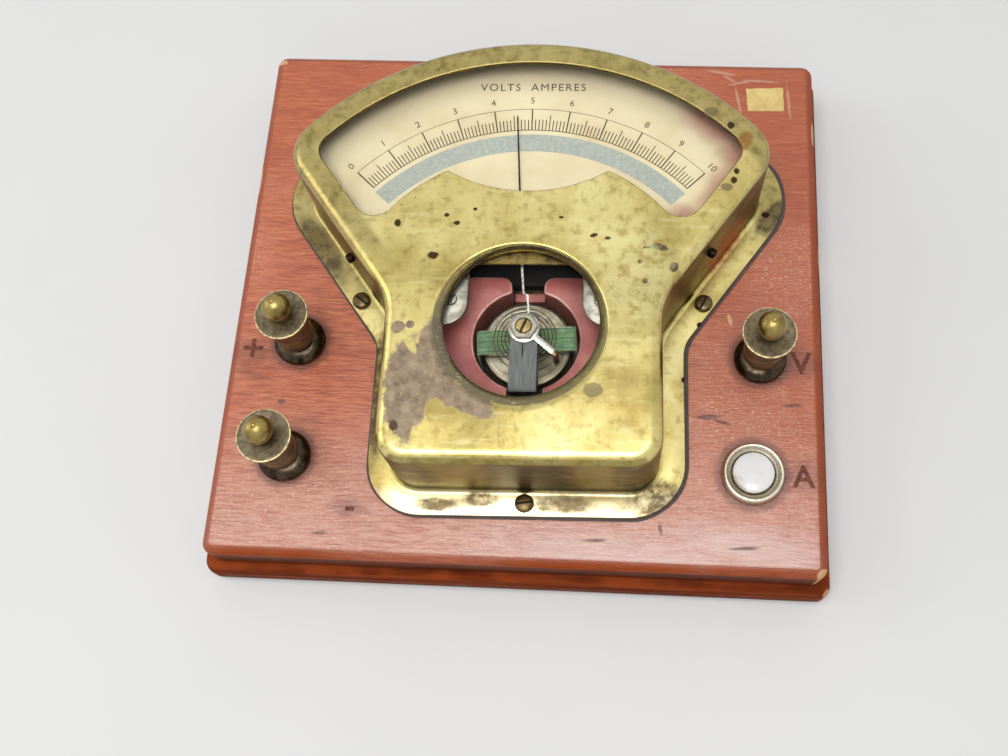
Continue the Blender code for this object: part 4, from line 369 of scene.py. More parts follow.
class Value:
    """An output of a node. Arithmetic and the methods add further nodes after it."""

    def __init__(self, socket):
        self.socket = socket

    def add(self, kind, inputs, out=0, **settings):
        return add(self.socket.id_data, kind, inputs, out, **settings)

    def math(self, kind, other=0):
        return self.add("ShaderNodeMath", (self, other), operation=kind)

    def __add__(self, other):
        return self.math("ADD", other)

    def __sub__(self, other):
        return self.math("SUBTRACT", other)

    def __rsub__(self, other):
        return self.add("ShaderNodeMath", (other, self), operation="SUBTRACT")

    def __mul__(self, other):
        return self.math("MULTIPLY", other)

    def __truediv__(self, other):
        return self.math("DIVIDE", other)

    def max(self, other):
        return self.math("MAXIMUM", other)

    def min(self, other):
        return self.math("MINIMUM", other)

    def split(self):
        node = self.add("ShaderNodeSeparateXYZ", (self,)).socket.node
        return [Value(socket) for socket in node.outputs]

    def mapped(self, scale, centre=(0, 0, 0), turn=0):
        inputs = {"Vector": self, "Location": centre, "Rotation": (0, 0, turn), "Scale": scale}
        return self.add("ShaderNodeMapping", inputs, vector_type="TEXTURE")

    def stretched(self, x, y, z=1):
        return self.mapped((x, y, z))

    def length(self):
        return self.add("ShaderNodeVectorMath", (self,), "Value", operation="LENGTH")

    def noise(self, scale, detail=3, rough=0.55, warp=0):
        inputs = {"Vector": self, "Scale": scale, "Detail": detail, "Roughness": rough, "Distortion": warp}
        return self.add("ShaderNodeTexNoise", inputs, "Fac")

    def ragged(self, scale, amount, detail=4):
        return (self.noise(scale, detail) - 0.5) * amount

    def cells(self, scale):
        return self.add("ShaderNodeTexVoronoi", {"Vector": self, "Scale": scale}, "Distance")

    def fade(self, low, high, last=1, first=0):
        """Goes smoothly from first to last while this goes from low to high."""
        inputs = {"Value": self, "From Min": low, "From Max": high, "To Min": first, "To Max": last}
        return self.add("ShaderNodeMapRange", inputs, interpolation_type="SMOOTHSTEP")

    def blob(self, x, y, half_x, half_y, turn_deg=0):
        """Distance from an oval's middle, 1 on its edge."""
        return self.mapped((half_x, half_y, FLAT), (x, y, 0), math.radians(turn_deg)).length()

    def patch(self, ragged, soft, *ovals):
        """1 inside any of the ovals, with a ragged edge."""
        least = self.blob(*ovals[0])
        for oval in ovals[1:]:
            least = least.min(self.blob(*oval))
        return (least + ragged).fade(1 + soft, 1 - soft)

    def ramp(self, *stops):
        """A colour from rows of a position, red, green and blue."""
        node = self.socket.id_data.nodes.new("ShaderNodeValToRGB")
        put(node.inputs["Fac"], self)
        elements = node.color_ramp.elements
        for element, stop in zip((elements[0], elements[1]), (stops[0], stops[-1])):
            element.position, element.color = stop[0], tint(*stop[1:])
        for stop in stops[1:-1]:
            elements.new(stop[0]).color = tint(*stop[1:])
        return Value(node.outputs["Color"])

    def mix(self, first, second):
        """The first colour where this is 0 and the second where it is 1."""
        return self.add("ShaderNodeMix", {0: self, 6: first, 7: second}, 2, data_type="RGBA")

    def coated(self, *coats):
        """This colour under rows of a mask and a colour, the last on top."""
        colour = self
        for mask, coat in coats:
            colour = mask.mix(colour, coat)
        return colour


# Finishes

class Paint:
    """One material. Values are set on its shader by socket name."""

    def __init__(self, name, **values):
        self.material = bpy.data.materials.new(name)
        self.material.use_nodes = True
        self.tree = self.material.node_tree
        self.shader = self.tree.nodes["Principled BSDF"]
        self.set(**values)

    def set(self, **values):
        for name, value in values.items():
            put(self.shader.inputs[name.replace("_", " ")], value)

    def place(self, centre=(0, 0, 0), turn=0):
        """Object coordinates in millimetres from a centre."""
        return add(self.tree, "ShaderNodeTexCoord", (), "Object").mapped((MM, MM, MM), centre, turn)

    def stand(self, turn_deg=0):
        """Coordinates from the pivot."""
        return self.place(STAND.translation, YAW + math.radians(turn_deg))

    def facing(self):
        """The parts of the surface's direction."""
        return add(self.tree, "ShaderNodeNewGeometry", (), "Normal").split()

    def done(self, colour, bump=None, **values):
        """bump is a height, its depth in millimetres and a strength."""
        self.set(Base_Color=colour, **values)
        if bump:
            height, depth, strength = bump
            inputs = {"Height": height, "Distance": depth * MM, "Strength": strength}
            normal = add(self.tree, "ShaderNodeBump", inputs)
            self.set(Normal=normal, Coat_Normal=normal)
        return self.material


def nearest_post(place, radius, others):
    """Distance from the nearest binding post, 1 at a radius from its middle."""
    for post in POSTS.values():
        others = place.blob(post.x, post.y, radius, radius).min(others)
    return others


def red_wood():
    paint = Paint("mahogany_top", Coat_Roughness=0.27)
    place = paint.place()
    x, y, z = place.split()
    up = paint.facing()[2]
    bent = add(paint.tree, "ShaderNodeCombineXYZ", (x, y + place.ragged(0.05, 3, 2), z))
    broad = bent.stretched(30, 2.2, 2.2).noise(0.5)
    fine = bent.stretched(5, 0.42, 0.42).noise(0.8, 4, 0.62)
    pores = bent.stretched(3.2, 0.2, 0.3).noise(0.9, 2, 0.6)
    cloudy = place.noise(0.022)
    # front marks where the painted sheen of the lamp lies on the varnish; glare and glints are painted reflections and
    # highlights of the lamp
    front = y.fade(-30, -84)
    glare = place.patch(place.stretched(4, 0.7).ragged(0.5, 1.4), 0.9, (30, -80, 34, 6, -3), (66, -76, 20, 5, -8))
    glints = bent.stretched(2.4, 0.3, 0.3).noise(1.6, 2).fade(0.6, 0.66)
    shining = (cloudy + front * 0.2).fade(0.52, 0.66, 0.85, 0.04)
    edge = up.fade(0.999, 0.95) * cloudy.fade(0.3, 0.62, 1, 0.7)
    smudges = place.patch(
        place.stretched(4, 0.5).ragged(0.8, 1.8), 0.5,
        (55.8, -38.4, 4, 0.7, 3), (59.5, -39.9, 2.4, 0.5, -16), (-60.5, 12, 2.6, 0.8, 8), (73.5, 33, 2.4, 1, 70),
        (-71, -38, 1.2, 0.8), (24, -76, 3, 0.5, 4), (47, -8, 1.5, 1), (80, -34, 2.6, 0.5, 6),
        (47.5, -48, 2.6, 0.6, -4), (66, -76.5, 3.6, 0.5, 4), (-55, -77, 2.4, 0.5), (42, -72, 0.6, 1.6, 10),
    )
    dirt = place.patch(
        place.stretched(3, 0.6).ragged(0.9, 1.6), 0.6, (-82, -22.5, 6.5, 4.4), (82.4, -20.7, 5, 4.6),
        (82.5, -55.4, 5, 4.4), (-47, -69, 5, 2.6), (-81, -30, 6, 1.2, -14),
    )
    bare = place.patch(
        place.ragged(0.5, 0.7), 0.2, (61.7, -7.6, 0.6, 1.9, 14), (87.4, -82.6, 2, 1.2, 30), (-86.8, 81, 1.6, 1),
        (-88.4, 36, 0.5, 5), (88.4, 58, 0.5, 4),
    )
    glue = place.patch(
        place.ragged(0.5, 1.6), 0.5, (58.7, 80.1, 4.4, 0.5, -10), (65.9, 76.4, 4.6, 0.4, 14),
        (62, 77.6, 3, 0.35, -30), (64.6, 69.6, 0.4, 5, 10), (80.8, 69.6, 0.4, 5.4, 4), (72.5, 77, 5, 0.35, -4),
    )
    halo = nearest_post(place, 8.2, place.blob(BUTTON.x, BUTTON.y, 9.6, 9.6).min(3))
    stand = paint.stand()
    # Painted shade on the wood under the cover, where little light reaches
    inside = stand.patch(stand.ragged(0.2, 0.05), 0.03, (0, -4, 36, 36), (0, 44, 56, 40), (0, 16, 36, 30))
    grain = fine.ramp((0.28, 0.56, 0.23, 0.11), (0.46, 0.76, 0.38, 0.22), (0.6, 0.84, 0.47, 0.29),
                      (0.74, 0.92, 0.6, 0.42))
    colour = grain.coated(
        (broad.fade(0.48, 0.66, 0.45), (0.66, 0.27, 0.15)),
        (pores.fade(0.6, 0.7, 0.5), (0.46, 0.17, 0.1)),
        (cloudy.fade(0.42, 0.7, 0.4), (0.9, 0.56, 0.42)),
        (y.fade(10, 84, 0.4), (0.78, 0.38, 0.19)),
        (x.fade(36, 80, 0.34), (0.68, 0.31, 0.17)),
        # Painted sheen, painted glare and painted glints of the lamp on the varnish near the front
        (front * fine.fade(0.36, 0.62, 0.72, 0.28), (0.92, 0.73, 0.66)),
        (glare * 0.45, (0.98, 0.9, 0.88)),
        (glints * shining, (0.97, 0.88, 0.82)),
        (edge, fine.mix((0.52, 0.19, 0.04), (0.74, 0.34, 0.11))),
        # Painted shade: the upright sides of the board are a darker brown than its top
        (up.fade(0.35, 0.05), broad.ramp((0.35, 0.27, 0.11, 0.05), (0.65, 0.45, 0.2, 0.09))),
        (smudges * 0.8, (0.33, 0.15, 0.11)),
        (dirt * 0.45, (0.42, 0.21, 0.15)),
        (bare, (0.9, 0.7, 0.5)),
        (glue * 0.55, (0.88, 0.74, 0.62)),
        ((halo + place.ragged(0.4, 0.2)).fade(1.28, 0.98, 0.6), (0.3, 0.12, 0.08)),
        # Painted shade under the cover
        (inside, (0.075, 0.055, 0.05)),
    )
    gloss = place.noise(0.12, 4).fade(0.3, 0.7, 0.44, 0.28)
    relief = fine - pores * 0.8 + place.noise(0.5) * 0.7
    return paint.done(
        colour, (relief, 0.15, 0.8), Roughness=gloss - glue * 0.15,
        Specular_IOR_Level=up.fade(0.5, 0.985, 0.5, 0.05), Coat_Weight=up.fade(0.8, 0.985, 0.5),
    )


def plinth_wood():
    paint = Paint("mahogany_moulding", Specular_IOR_Level=0.05)
    place = paint.place()
    z = place.split()[2]
    along = paint.facing()[0].math("ABSOLUTE").fade(0.55, 0.75)
    long_x, long_y = (place.stretched(x, y, 0.8).noise(0.6, 4, 0.6) for x, y in ((22, 1.2), (1.2, 22)))
    grain = add(paint.tree, "ShaderNodeMix", {0: along, 2: long_x, 3: long_y}, data_type="FLOAT")
    bare = place.patch(place.ragged(0.5, 0.8), 0.2, (91.4, -86.2, 1.6, 1.6), (-91.8, -60, 0.6, 4), (91.8, 20, 0.6, 5))
    colour = grain.ramp((0.3, 0.38, 0.15, 0.06), (0.5, 0.48, 0.2, 0.08), (0.72, 0.6, 0.28, 0.12)).coated(
        (z.fade(5, 1.8, 0.6), (0.24, 0.09, 0.06)),
        (z.fade(9.2, 10.6) * place.noise(0.06).fade(0.42, 0.62) * 0.6, (0.68, 0.31, 0.14)),
        (bare, (0.84, 0.62, 0.46)),
    )
    return paint.done(colour, (grain, 0.06, 0.5), Roughness=place.noise(0.2, 4).fade(0.3, 0.7, 0.7, 0.5))


def black_board():
    paint = Paint("black_board")
    # Near black paint; where this board shows as a dark band under the moulding it also stands in for the contact
    # shadow, so it is partly painted shade
    place = paint.place()
    cloudy = place.noise(0.08, 5, 0.6)
    scuffs = place.stretched(9, 0.5).noise(0.5).fade(0.62, 0.7, 0.5)
    colour = cloudy.ramp((0.3, 0.09, 0.085, 0.08), (0.7, 0.19, 0.18, 0.17)).coated((scuffs, (0.34, 0.32, 0.3)))
    return paint.done(colour, (place.noise(1.6), 0.05, 0.5), Roughness=cloudy.fade(0.3, 0.7, 0.85, 0.6))


def felt():
    paint = Paint("felt", Roughness=0.95, Sheen_Weight=0.3)
    place = paint.place()
    fibres = place.noise(4, 3, 0.7)
    dusty = place.noise(0.1).fade(0.5, 0.7, 0.5)
    colour = fibres.ramp((0.3, 0.24, 0.2, 0.19), (0.7, 0.46, 0.41, 0.39)).coated((dusty, (0.48, 0.42, 0.38)))
    return paint.done(colour, (fibres, 0.12, 0.8))


def wall_colour(place, wall, z):
    """The cover's darker side walls: streaky brass with patina, painted darker as a reflection of dark surroundings,
    with horizontal bands of painted reflection.
    """
    streaks = place.stretched(5, 5, 2).noise(0.6, 5, 0.6)
    reflection_bands = place.stretched(9, 9, 3).noise(0.5, 3, 0.6)
    middle = place.patch(place.ragged(0.3, 1.2), 0.4, (3, -41, 9, 6), (-36, -41, 4, 6))
    yellow = place.patch(place.ragged(0.3, 0.9), 0.3, (-17, -41, 7, 6), (20, -41, 5, 5))
    return streaks.ramp((0.3, 0.39, 0.33, 0.19), (0.5, 0.48, 0.42, 0.24), (0.74, 0.6, 0.54, 0.32)).coated(
        # Horizontal bands of painted reflection
        (reflection_bands.fade(0.54, 0.7, 0.4), (0.3, 0.25, 0.16)),
        (middle * 0.55, (0.25, 0.22, 0.15)),
        (yellow * 0.45, (0.72, 0.64, 0.36)),
        (z.fade(8, 2.5, 0.65) * wall, (0.22, 0.17, 0.11)),
    )


def dish_colour(place, x, y, rim_place, mottled):
    """The turned dish round the movement glass."""
    grooves = (rim_place * 260 + place.ragged(0.2, 9)).math("SINE").fade(0.1, 0.9, 0.75)
    lower_left = (x + y).fade(-4, -22)
    nicks = place.stretched(3, 0.5).noise(1).fade(0.62, 0.68)
    return mottled.fade(0.4, 0.62).mix((0.54, 0.51, 0.39), (0.72, 0.66, 0.44)).coated(
        (grooves, (0.34, 0.31, 0.24)),
        (lower_left, (0.5, 0.47, 0.38)),
        (nicks * lower_left, (0.82, 0.8, 0.72)),
    )


def cover_brass():
    paint = Paint("cover_brass")
    place = paint.stand()
    x, y, z = place.split()
    face_x, face_y, up = paint.facing()
    cloudy = place.noise(0.035, 5, 0.6, 0.6)
    mottled = place.noise(0.32, 5, 0.65)
    wall = up.fade(0.55, 0.12)
    top = z.fade(27.6, 28.6)
    flange = z.fade(4, 3.2)

    radius = place.stretched(1, 1, FLAT).length()
    leftward = x * -0.809 + y * -0.587
    sideways = leftward.max(x * 0.809 - y * 0.587)
    pane_edge = up.fade(0.98, 0.9) * z.fade(31.2, 31.5) * radius.fade(84, 83.2) * radius.fade(34, 36)
    pane_edge = pane_edge * sideways.fade(21.8, 21.2) * mottled.fade(0.4, 0.52, 0.95, 0.55)
    # The back and left rim of the top: partly tarnish and partly a painted darker reflection
    rim = radius.fade(80, 83).max(leftward.fade(18.4, 20.6) * y.fade(14, 24)) * (1 - wall)
    tarnish_and_dark_reflection = mottled.ramp((0.34, 0.44, 0.38, 0.22), (0.5, 0.66, 0.59, 0.37), (0.68, 0.76, 0.7, 0.46))
    ahead = face_y + (face_x * 1.2).math("ABSOLUTE")
    # A painted darker band of reflection on the front rounding, just below its highlight
    dark_reflection_band = up.fade(0.88, 0.74) * up.fade(0.1, 0.3) * ahead.fade(-0.05, -0.25) * mottled.fade(0.6, 0.42, 0.8, 0.5)
    # Painted highlight that whitens the front rounding
    front_highlight = place.patch(place.ragged(0.2, 0.5), 0.4, (-4, -47.2, 30, 2.2))

    edge_noise = place.ragged(0.42, 0.75)
    greyed = place.patch(edge_noise, 0.5, (19, -44.4, 15, 2.8), (-20, -45, 9, 1.6))
    tarnish = place.patch(
        edge_noise, 0.35, (-66, 35, 4, 13, 36), (73, 46, 3, 8, -36), (11.4, -44.6, 8.4, 2.7),
        (-25.6, -45.2, 6.4, 2), (-12.4, -43.4, 5, 2.2), (36, -42.6, 9, 4.4, 22), (-44.5, -12, 2.2, 20),
    ) * mottled.fade(0.3, 0.6, 1, 0.45)

    brown = place.patch(
        edge_noise, 0.12, (-30.1, -21, 6, 15), (-33.7, -3, 1.9, 1.9), (-30.4, -2.2, 1.2, 1.2),
        (-24, -12.2, 4.4, 12.3), (-14.4, -23.6, 8.8, 3.4, -28), (-20.8, -20, 4, 6, 25),
    )
    clean = place.patch(
        place.ragged(0.5, 0.5), 0.15, (-21.6, -28.2, 3, 5, 14), (-25, -34, 3.2, 3.6, 30),
        (-14, -30.2, 8, 2, -16), (-30.2, -7.6, 1.1, 3.4, 32),
    )
    dark = brown * (1 - clean) * top
    crust = mottled.ramp((0.32, 0.46, 0.39, 0.31), (0.5, 0.6, 0.52, 0.42), (0.72, 0.72, 0.64, 0.52)).coated(
        (place.noise(1.1).fade(0.62, 0.7), (0.66, 0.58, 0.4)),
    )

    spots = place.patch(
        place.ragged(0.9, 0.8), 0.2, (-36.1, 28.5, 1, 1.2), (-25.5, 18.6, 1.5, 1.1), (-19.4, 28.6, 0.9, 0.7),
        (-22.4, 31.1, 0.7, 0.6), (37.4, 21.4, 2.3, 1, -14), (34.1, 21.4, 1.6, 0.4, 8), (31.9, 17.1, 0.7, 0.7),
        (19.1, 25, 1.1, 0.6, 20), (23, 24.1, 0.9, 0.5), (58.3, 42.5, 0.9, 1.1), (59.2, 45.4, 0.8, 1),
        (41.2, 15.4, 1.2, 1.6, -30), (33.3, 11.1, 0.8, 0.7), (58, 60.4, 1, 1.3), (-32.8, -31, 1.2, 1.5),
        (-14.5, 33, 0.6, 0.5), (9.8, 30.5, 0.7, 0.4), (-48, 42, 0.7, 0.8),
    )
    low_spots = place.patch(
        place.ragged(0.9, 0.7), 0.2, (71.5, 47.5, 1.3, 1), (50.6, 10.6, 0.9, 0.9), (45.7, -6.9, 0.8, 0.9),
        (64.2, 43.7, 1, 1.4), (44.2, 16.9, 1.8, 1.3, 20),
    )
    lit = place.patch(place.ragged(0.08, 0.8), 0.6, (31, 13, 10, 15)) * top * mottled.fade(0.62, 0.45, 0.5, 0.1)
    grey = place.patch(
        place.ragged(0.6, 0.35), 0.12, (19.5, -20.5, 2.7, 2.1), (56.3, 40.3, 1.6, 1.2), (52.3, 64.8, 2.2, 1.6, 20),
    )
    rust = place.patch(place.ragged(0.6, 0.8), 0.35, (61.8, 55.2, 2, 3.2, -20))
    # Painted reflection of the red wood on the lower part of the right wall
    red = place.patch(place.ragged(0.4, 0.9), 0.4, (57, 34.5, 2.4, 11, -36)) * z.fade(22, 14)
    freckles = place.cells(0.22).fade(0.085, 0.05) * place.noise(0.05, 2).fade(0.5, 0.6)
    rim_place = place.blob(-0.5, -0.9, 22.8, 22.8)
    in_dish = rim_place.fade(1.06, 1.045) * z.fade(31.9, 31.6) * z.fade(27, 28)

    brass = cloudy.ramp((0.32, 0.74, 0.66, 0.38), (0.5, 0.86, 0.79, 0.5), (0.68, 0.93, 0.88, 0.62))
    colour = brass.coated(
        (mottled.fade(0.48, 0.72, 0.6), (0.62, 0.53, 0.28)),
        (place.stretched(6, 0.8).noise(0.35, 4, 0.65).fade(0.54, 0.7, 0.55), (0.95, 0.9, 0.66)),
        (place.stretched(1, 3).noise(0.55, 4, 0.6).fade(0.58, 0.7, 0.35), (0.6, 0.52, 0.28)),
        (place.noise(0.06, 3, 0.5, 0.5).fade(0.55, 0.75, 0.5), (0.76, 0.62, 0.3)),
        (wall, wall_colour(place, wall, z)),
        (pane_edge, (0.3, 0.25, 0.15)),
        # Tarnish and painted darker reflection on the rim
        (rim * 0.75, tarnish_and_dark_reflection),
        (front_highlight * 0.2, (0.94, 0.93, 0.86)),
        (dark_reflection_band, (0.5, 0.43, 0.22)),
        # Painted highlight on the front of the flange
        (flange * y.fade(-39, -43, 0.35), (0.96, 0.95, 0.88)),
        (flange * greyed * 0.75, (0.44, 0.4, 0.3)),
        (flange * tarnish, (0.37, 0.32, 0.23)),
        (dark, crust),
        (spots * top, (0.3, 0.24, 0.16)),
        (low_spots * flange, (0.2, 0.14, 0.1)),
        (lit, (0.97, 0.94, 0.7)),
        (grey * top * 0.75, (0.52, 0.47, 0.36)),
        (rust * 0.7, (0.62, 0.4, 0.22)),
        (red * 0.85, (0.6, 0.22, 0.13)),
        (freckles * 0.7, (0.4, 0.32, 0.18)),
        (in_dish * 0.85, dish_colour(place, x, y, rim_place, mottled)),
    )
    dull = dark.max(wall * 0.5).max(flange * tarnish * 0.6)
    hollows = place.noise(0.9, 4, 0.6) * 0.5 + place.noise(0.11, 2) * 2.2 - low_spots.max(freckles) * 0.5
    gloss = cloudy.fade(0.3, 0.7, 0.35, 0.21) + dull * 0.25
    return paint.done(colour, (hollows, 0.045, 0.55), Roughness=gloss, Metallic=1 - dark * 0.75)


def aged_metal(name, light, dark, grime, roughness, scale=0.4):
    """A metal with cloudy tarnish, finer mottling and grime in patches."""
    paint = Paint(name, Metallic=1)
    place = paint.place()
    mottled = place.noise(scale * 4, 3, 0.6)
    cloudy = place.noise(scale * 0.5, 4, 0.6)
    colour = cloudy.fade(0.35, 0.68).mix(light, dark).coated((mottled.fade(0.48, 0.72, 0.45), grime))
    gloss = mottled.fade(0.3, 0.7, roughness + 0.12, roughness - 0.06)
    return paint.done(colour, (mottled, 0.02, 0.5), Roughness=gloss)


def post_brass():
    paint = Paint("post_brass")
    place = paint.place()
    height = place.split()[2] - WOOD_TOP / MM
    up = paint.facing()[2]
    cloudy = place.noise(0.3, 4, 0.6).fade(0.4, 0.65)
    fine = place.noise(2.2, 3, 0.6)
    olive = cloudy.mix((0.66, 0.58, 0.35), (0.52, 0.45, 0.27))
    brown = cloudy.mix((0.5, 0.44, 0.3), (0.36, 0.31, 0.22))
    dirty = place.noise(0.6, 4, 0.6).fade(0.35, 0.66).mix((0.36, 0.32, 0.26), (0.52, 0.47, 0.38))
    disc = height.fade(20.9, 21.4) * height.fade(22.6, 22.1)
    face = disc * up.fade(0.75, 0.95)
    rim = disc * nearest_post(place, 7.7, 9).fade(0.93, 0.965)
    colour = height.fade(22.2, 23.2).mix(brown, olive).coated(
        (face * 0.9, dirty),
        (rim * place.noise(0.7).fade(0.4, 0.52, 1, 0.3), (0.86, 0.8, 0.6)),
        (fine.fade(0.5, 0.74, 0.5), (0.27, 0.22, 0.15)),
        (height.fade(9.6, 8.8, 0.4), (0.24, 0.2, 0.14)),
    )
    return paint.done(
        colour, (fine, 0.03, 0.6), Roughness=fine.fade(0.3, 0.7, 0.46, 0.26) + face * 0.15,
        Metallic=1 - height.fade(20.6, 19.8) * 0.45,
    )


def clear_glass():
    """Glass that lets light through to what lies behind it."""
    paint = Paint("window_glass", Transmission_Weight=1, IOR=1.12)
    tree = paint.tree
    shadow = add(tree, "ShaderNodeLightPath", (), "Is Shadow Ray")
    clear = add(tree, "ShaderNodeBsdfTransparent")
    shader = Value(paint.shader.outputs[0])
    put(tree.nodes["Material Output"].inputs["Surface"], add(tree, "ShaderNodeMixShader", (shadow, shader, clear)))
    return paint.done((0.985, 0.99, 0.98, 1), Roughness=paint.place().noise(0.08, 4, 0.6).fade(0.5, 0.8, 0.03))


def cork():
    paint = Paint("cork", Roughness=0.9)
    grains = paint.place().cells(1.4)
    return paint.done(grains.ramp((0.1, 0.36, 0.26, 0.18), (0.6, 0.62, 0.48, 0.34)), (grains, 0.1, 0.6))


def grey_metal():
    paint = Paint("scale_plate_metal", Metallic=1)
    place = paint.place()
    cloudy = place.noise(0.25, 4, 0.6)
    fine = place.stretched(6, 1).noise(1.4)
    colour = cloudy.fade(0.35, 0.65).mix((0.62, 0.61, 0.57), (0.44, 0.42, 0.38))
    colour = colour.coated((fine.fade(0.52, 0.7, 0.4), (0.36, 0.33, 0.28)))
    return paint.done(colour, (fine, 0.02, 0.4), Roughness=cloudy.fade(0.3, 0.7, 0.5, 0.32))


def cream_card():
    paint = Paint("cream_card", Roughness=0.85)
    place = paint.stand()
    x, y, _ = place.split()
    fibres = place.noise(3, 4, 0.7)
    cloudy = place.noise(0.05, 4, 0.6)
    ragged = place.ragged(0.1, 0.8)
    shade = (place.stretched(1, 1, FLAT).length() + ragged * 3).fade(74, 83)
    left = (x * -0.81 + y * -0.587 + ragged).fade(17.5, 20.5, 0.5)
    red = place.patch(
        ragged, 0.6, (62.5, 54, 6, 9, 20), (54, 66.5, 9, 6, -40), (56.5, 43, 5, 13, -32), (45.5, 33, 6, 4.4, -30),
    )
    foxing = place.cells(0.1).fade(0.1, 0.04) * place.noise(0.04, 2).fade(0.52, 0.62)
    colour = cloudy.ramp((0.3, 0.705, 0.64, 0.5), (0.5, 0.75, 0.7, 0.57), (0.7, 0.78, 0.735, 0.61)).coated(
        (fibres.fade(0.5, 0.75, 0.25), (0.76, 0.68, 0.5)),
        (shade.max(left) * 0.55, (0.58, 0.53, 0.44)),
        (red * 0.75, (0.56, 0.34, 0.29)),
        (foxing * 0.45, (0.66, 0.5, 0.32)),
    )
    return paint.done(colour, (fibres, 0.02, 0.5))


def red_enamel():
    paint = Paint("magnet_paint", Coat_Weight=0.25, Coat_Roughness=0.3)
    place = paint.stand()
    x, y, _ = place.split()
    up = paint.facing()[2]
    cloudy = place.noise(0.1, 4, 0.6)
    fine = place.noise(2, 4, 0.7)
    low_left = place.patch(place.ragged(0.15, 0.6), 0.4, (-21, -14, 11, 16))
    dust = place.cells(0.9).fade(0.16, 0.08) * place.noise(0.2, 2).fade(0.46, 0.6)
    # Painted highlight along the edges of the enamel
    edge_highlight = up.fade(0.97, 0.85) * up.fade(0.35, 0.6) * cloudy.fade(0.4, 0.55, 0.8, 0.25)
    colour = cloudy.ramp((0.32, 0.5, 0.22, 0.2), (0.5, 0.6, 0.31, 0.28), (0.7, 0.66, 0.41, 0.36)).coated(
        (low_left * 0.6, (0.52, 0.16, 0.15)),
        (fine.fade(0.5, 0.72, 0.6), (0.4, 0.15, 0.14)),
        ((x + y * 0.6).fade(12, 26, 0.45), (0.42, 0.2, 0.17)),
        (dust * 0.75, (0.8, 0.64, 0.58)),
        (edge_highlight, (0.84, 0.68, 0.62)),
        # Painted shade on the upright faces of the magnet and its bore
        (up.fade(0.5, 0.1, 0.45), (0.3, 0.1, 0.1)),
    )
    relief = place.noise(0.35) + fine * 0.6
    return paint.done(colour, (relief, 0.18, 0.7), Roughness=fine.fade(0.3, 0.7, 0.58, 0.32))


def turned_iron():
    paint = Paint("turned_iron", Metallic=1)
    place = paint.stand()
    x, y, _ = place.split()
    distance = place.stretched(1, 1, FLAT).length()
    grooves = (distance * 9).math("SINE")
    cloudy = place.noise(0.35, 4, 0.6)
    lower = (x * 0.8 - y + place.ragged(0.4, 6)).fade(2, 12, 0.65)
    colour = cloudy.fade(0.35, 0.65).mix((0.7, 0.68, 0.6), (0.54, 0.51, 0.43)).coated(
        (grooves.fade(0.2, 1, 0.35), (0.38, 0.35, 0.29)),
        (distance.fade(11.6, 12.6, 0.6), (0.34, 0.29, 0.23)),
        (lower, (0.36, 0.33, 0.27)),
    )
    return paint.done(colour, (grooves, 0.03, 0.5), Roughness=cloudy.fade(0.3, 0.7, 0.46, 0.3))


def green_silk():
    paint = Paint("green_silk", Roughness=0.7, Sheen_Weight=0.3)
    place = paint.stand(READING_DEG)
    lay = place.stretched(0.5, 3, 3).noise(5, 2)
    seams = (place.split()[1] * 2.1).math("SINE").math("ABSOLUTE")
    colour = place.noise(0.5).fade(0.35, 0.65).mix((0.46, 0.6, 0.4), (0.34, 0.47, 0.32)).coated(
        (lay.fade(0.5, 0.75, 0.5), (0.16, 0.26, 0.18)),
        (seams.fade(0.3, 0.05, 0.8), (0.1, 0.13, 0.1)),
    )
    return paint.done(colour, (lay, 0.05, 0.7))


def black_bar():
    paint = Paint("bridge_black", Specular_IOR_Level=0.25)
    place = paint.stand()
    grain = place.stretched(0.5, 12).noise(2, 3, 0.6)
    end = place.split()[1] + place.ragged(0.6, 1)
    colour = grain.ramp((0.36, 0.27, 0.27, 0.27), (0.66, 0.4, 0.41, 0.4)).coated(
        # Painted shade: the front end of the bar and its upright sides are darker
        (end.fade(-17.4, -18.3, 0.6), (0.1, 0.1, 0.11)),
        (paint.facing()[2].fade(0.6, 0.2), (0.09, 0.09, 0.1)),
    )
    return paint.done(colour, (grain, 0.03, 0.6))


def lever_steel():
    paint = Paint("lever_steel", Metallic=1)
    place = paint.stand(LEVER_DEG)
    fine = place.noise(1.4, 4, 0.6)
    tip = (place.split()[0] + place.ragged(1, 1.2)).fade(10.6, 11.4)
    colour = fine.fade(0.42, 0.7).mix((0.76, 0.74, 0.7), (0.54, 0.51, 0.46)).coated((tip, (0.38, 0.29, 0.2)))
    return paint.done(colour, (fine, 0.01, 0.5), Roughness=fine.fade(0.3, 0.7, 0.36, 0.18))


def pointer_metal():
    paint = Paint("pointer_metal", Metallic=1)
    place = paint.stand(READING_DEG)
    y = place.split()[1]
    fine = place.noise(1).fade(0.4, 0.7)
    # Painted shade: the root near the hub is darker
    root = fine.mix((0.78, 0.77, 0.75), (0.6, 0.59, 0.56)).coated((y.fade(11.5, 10.5, 0.85), (0.38, 0.37, 0.35)))
    blade = fine.mix((0.16, 0.15, 0.15), (0.26, 0.24, 0.23))
    return paint.done(y.fade(25, 30).mix(root, blade), Roughness=y.fade(24, 32, 0.6, 0.25))


def plated_ring():
    paint = Paint("plated_ring", Metallic=1)
    place = paint.place(wood_place(BUTTON).translation)
    radius = place.stretched(1, 1, FLAT).length()
    fine = place.noise(1.3, 4, 0.6)
    colour = fine.fade(0.4, 0.7).mix((0.94, 0.91, 0.84), (0.8, 0.76, 0.66)).coated(
        (radius.fade(7.8, 7.2) * 0.45, (0.52, 0.46, 0.37)),
        (radius.fade(8.45, 8.8) * 0.6, (0.6, 0.55, 0.45)),
    )
    return paint.done(colour, (fine, 0.015, 0.5), Roughness=fine.fade(0.3, 0.7, 0.38, 0.2))


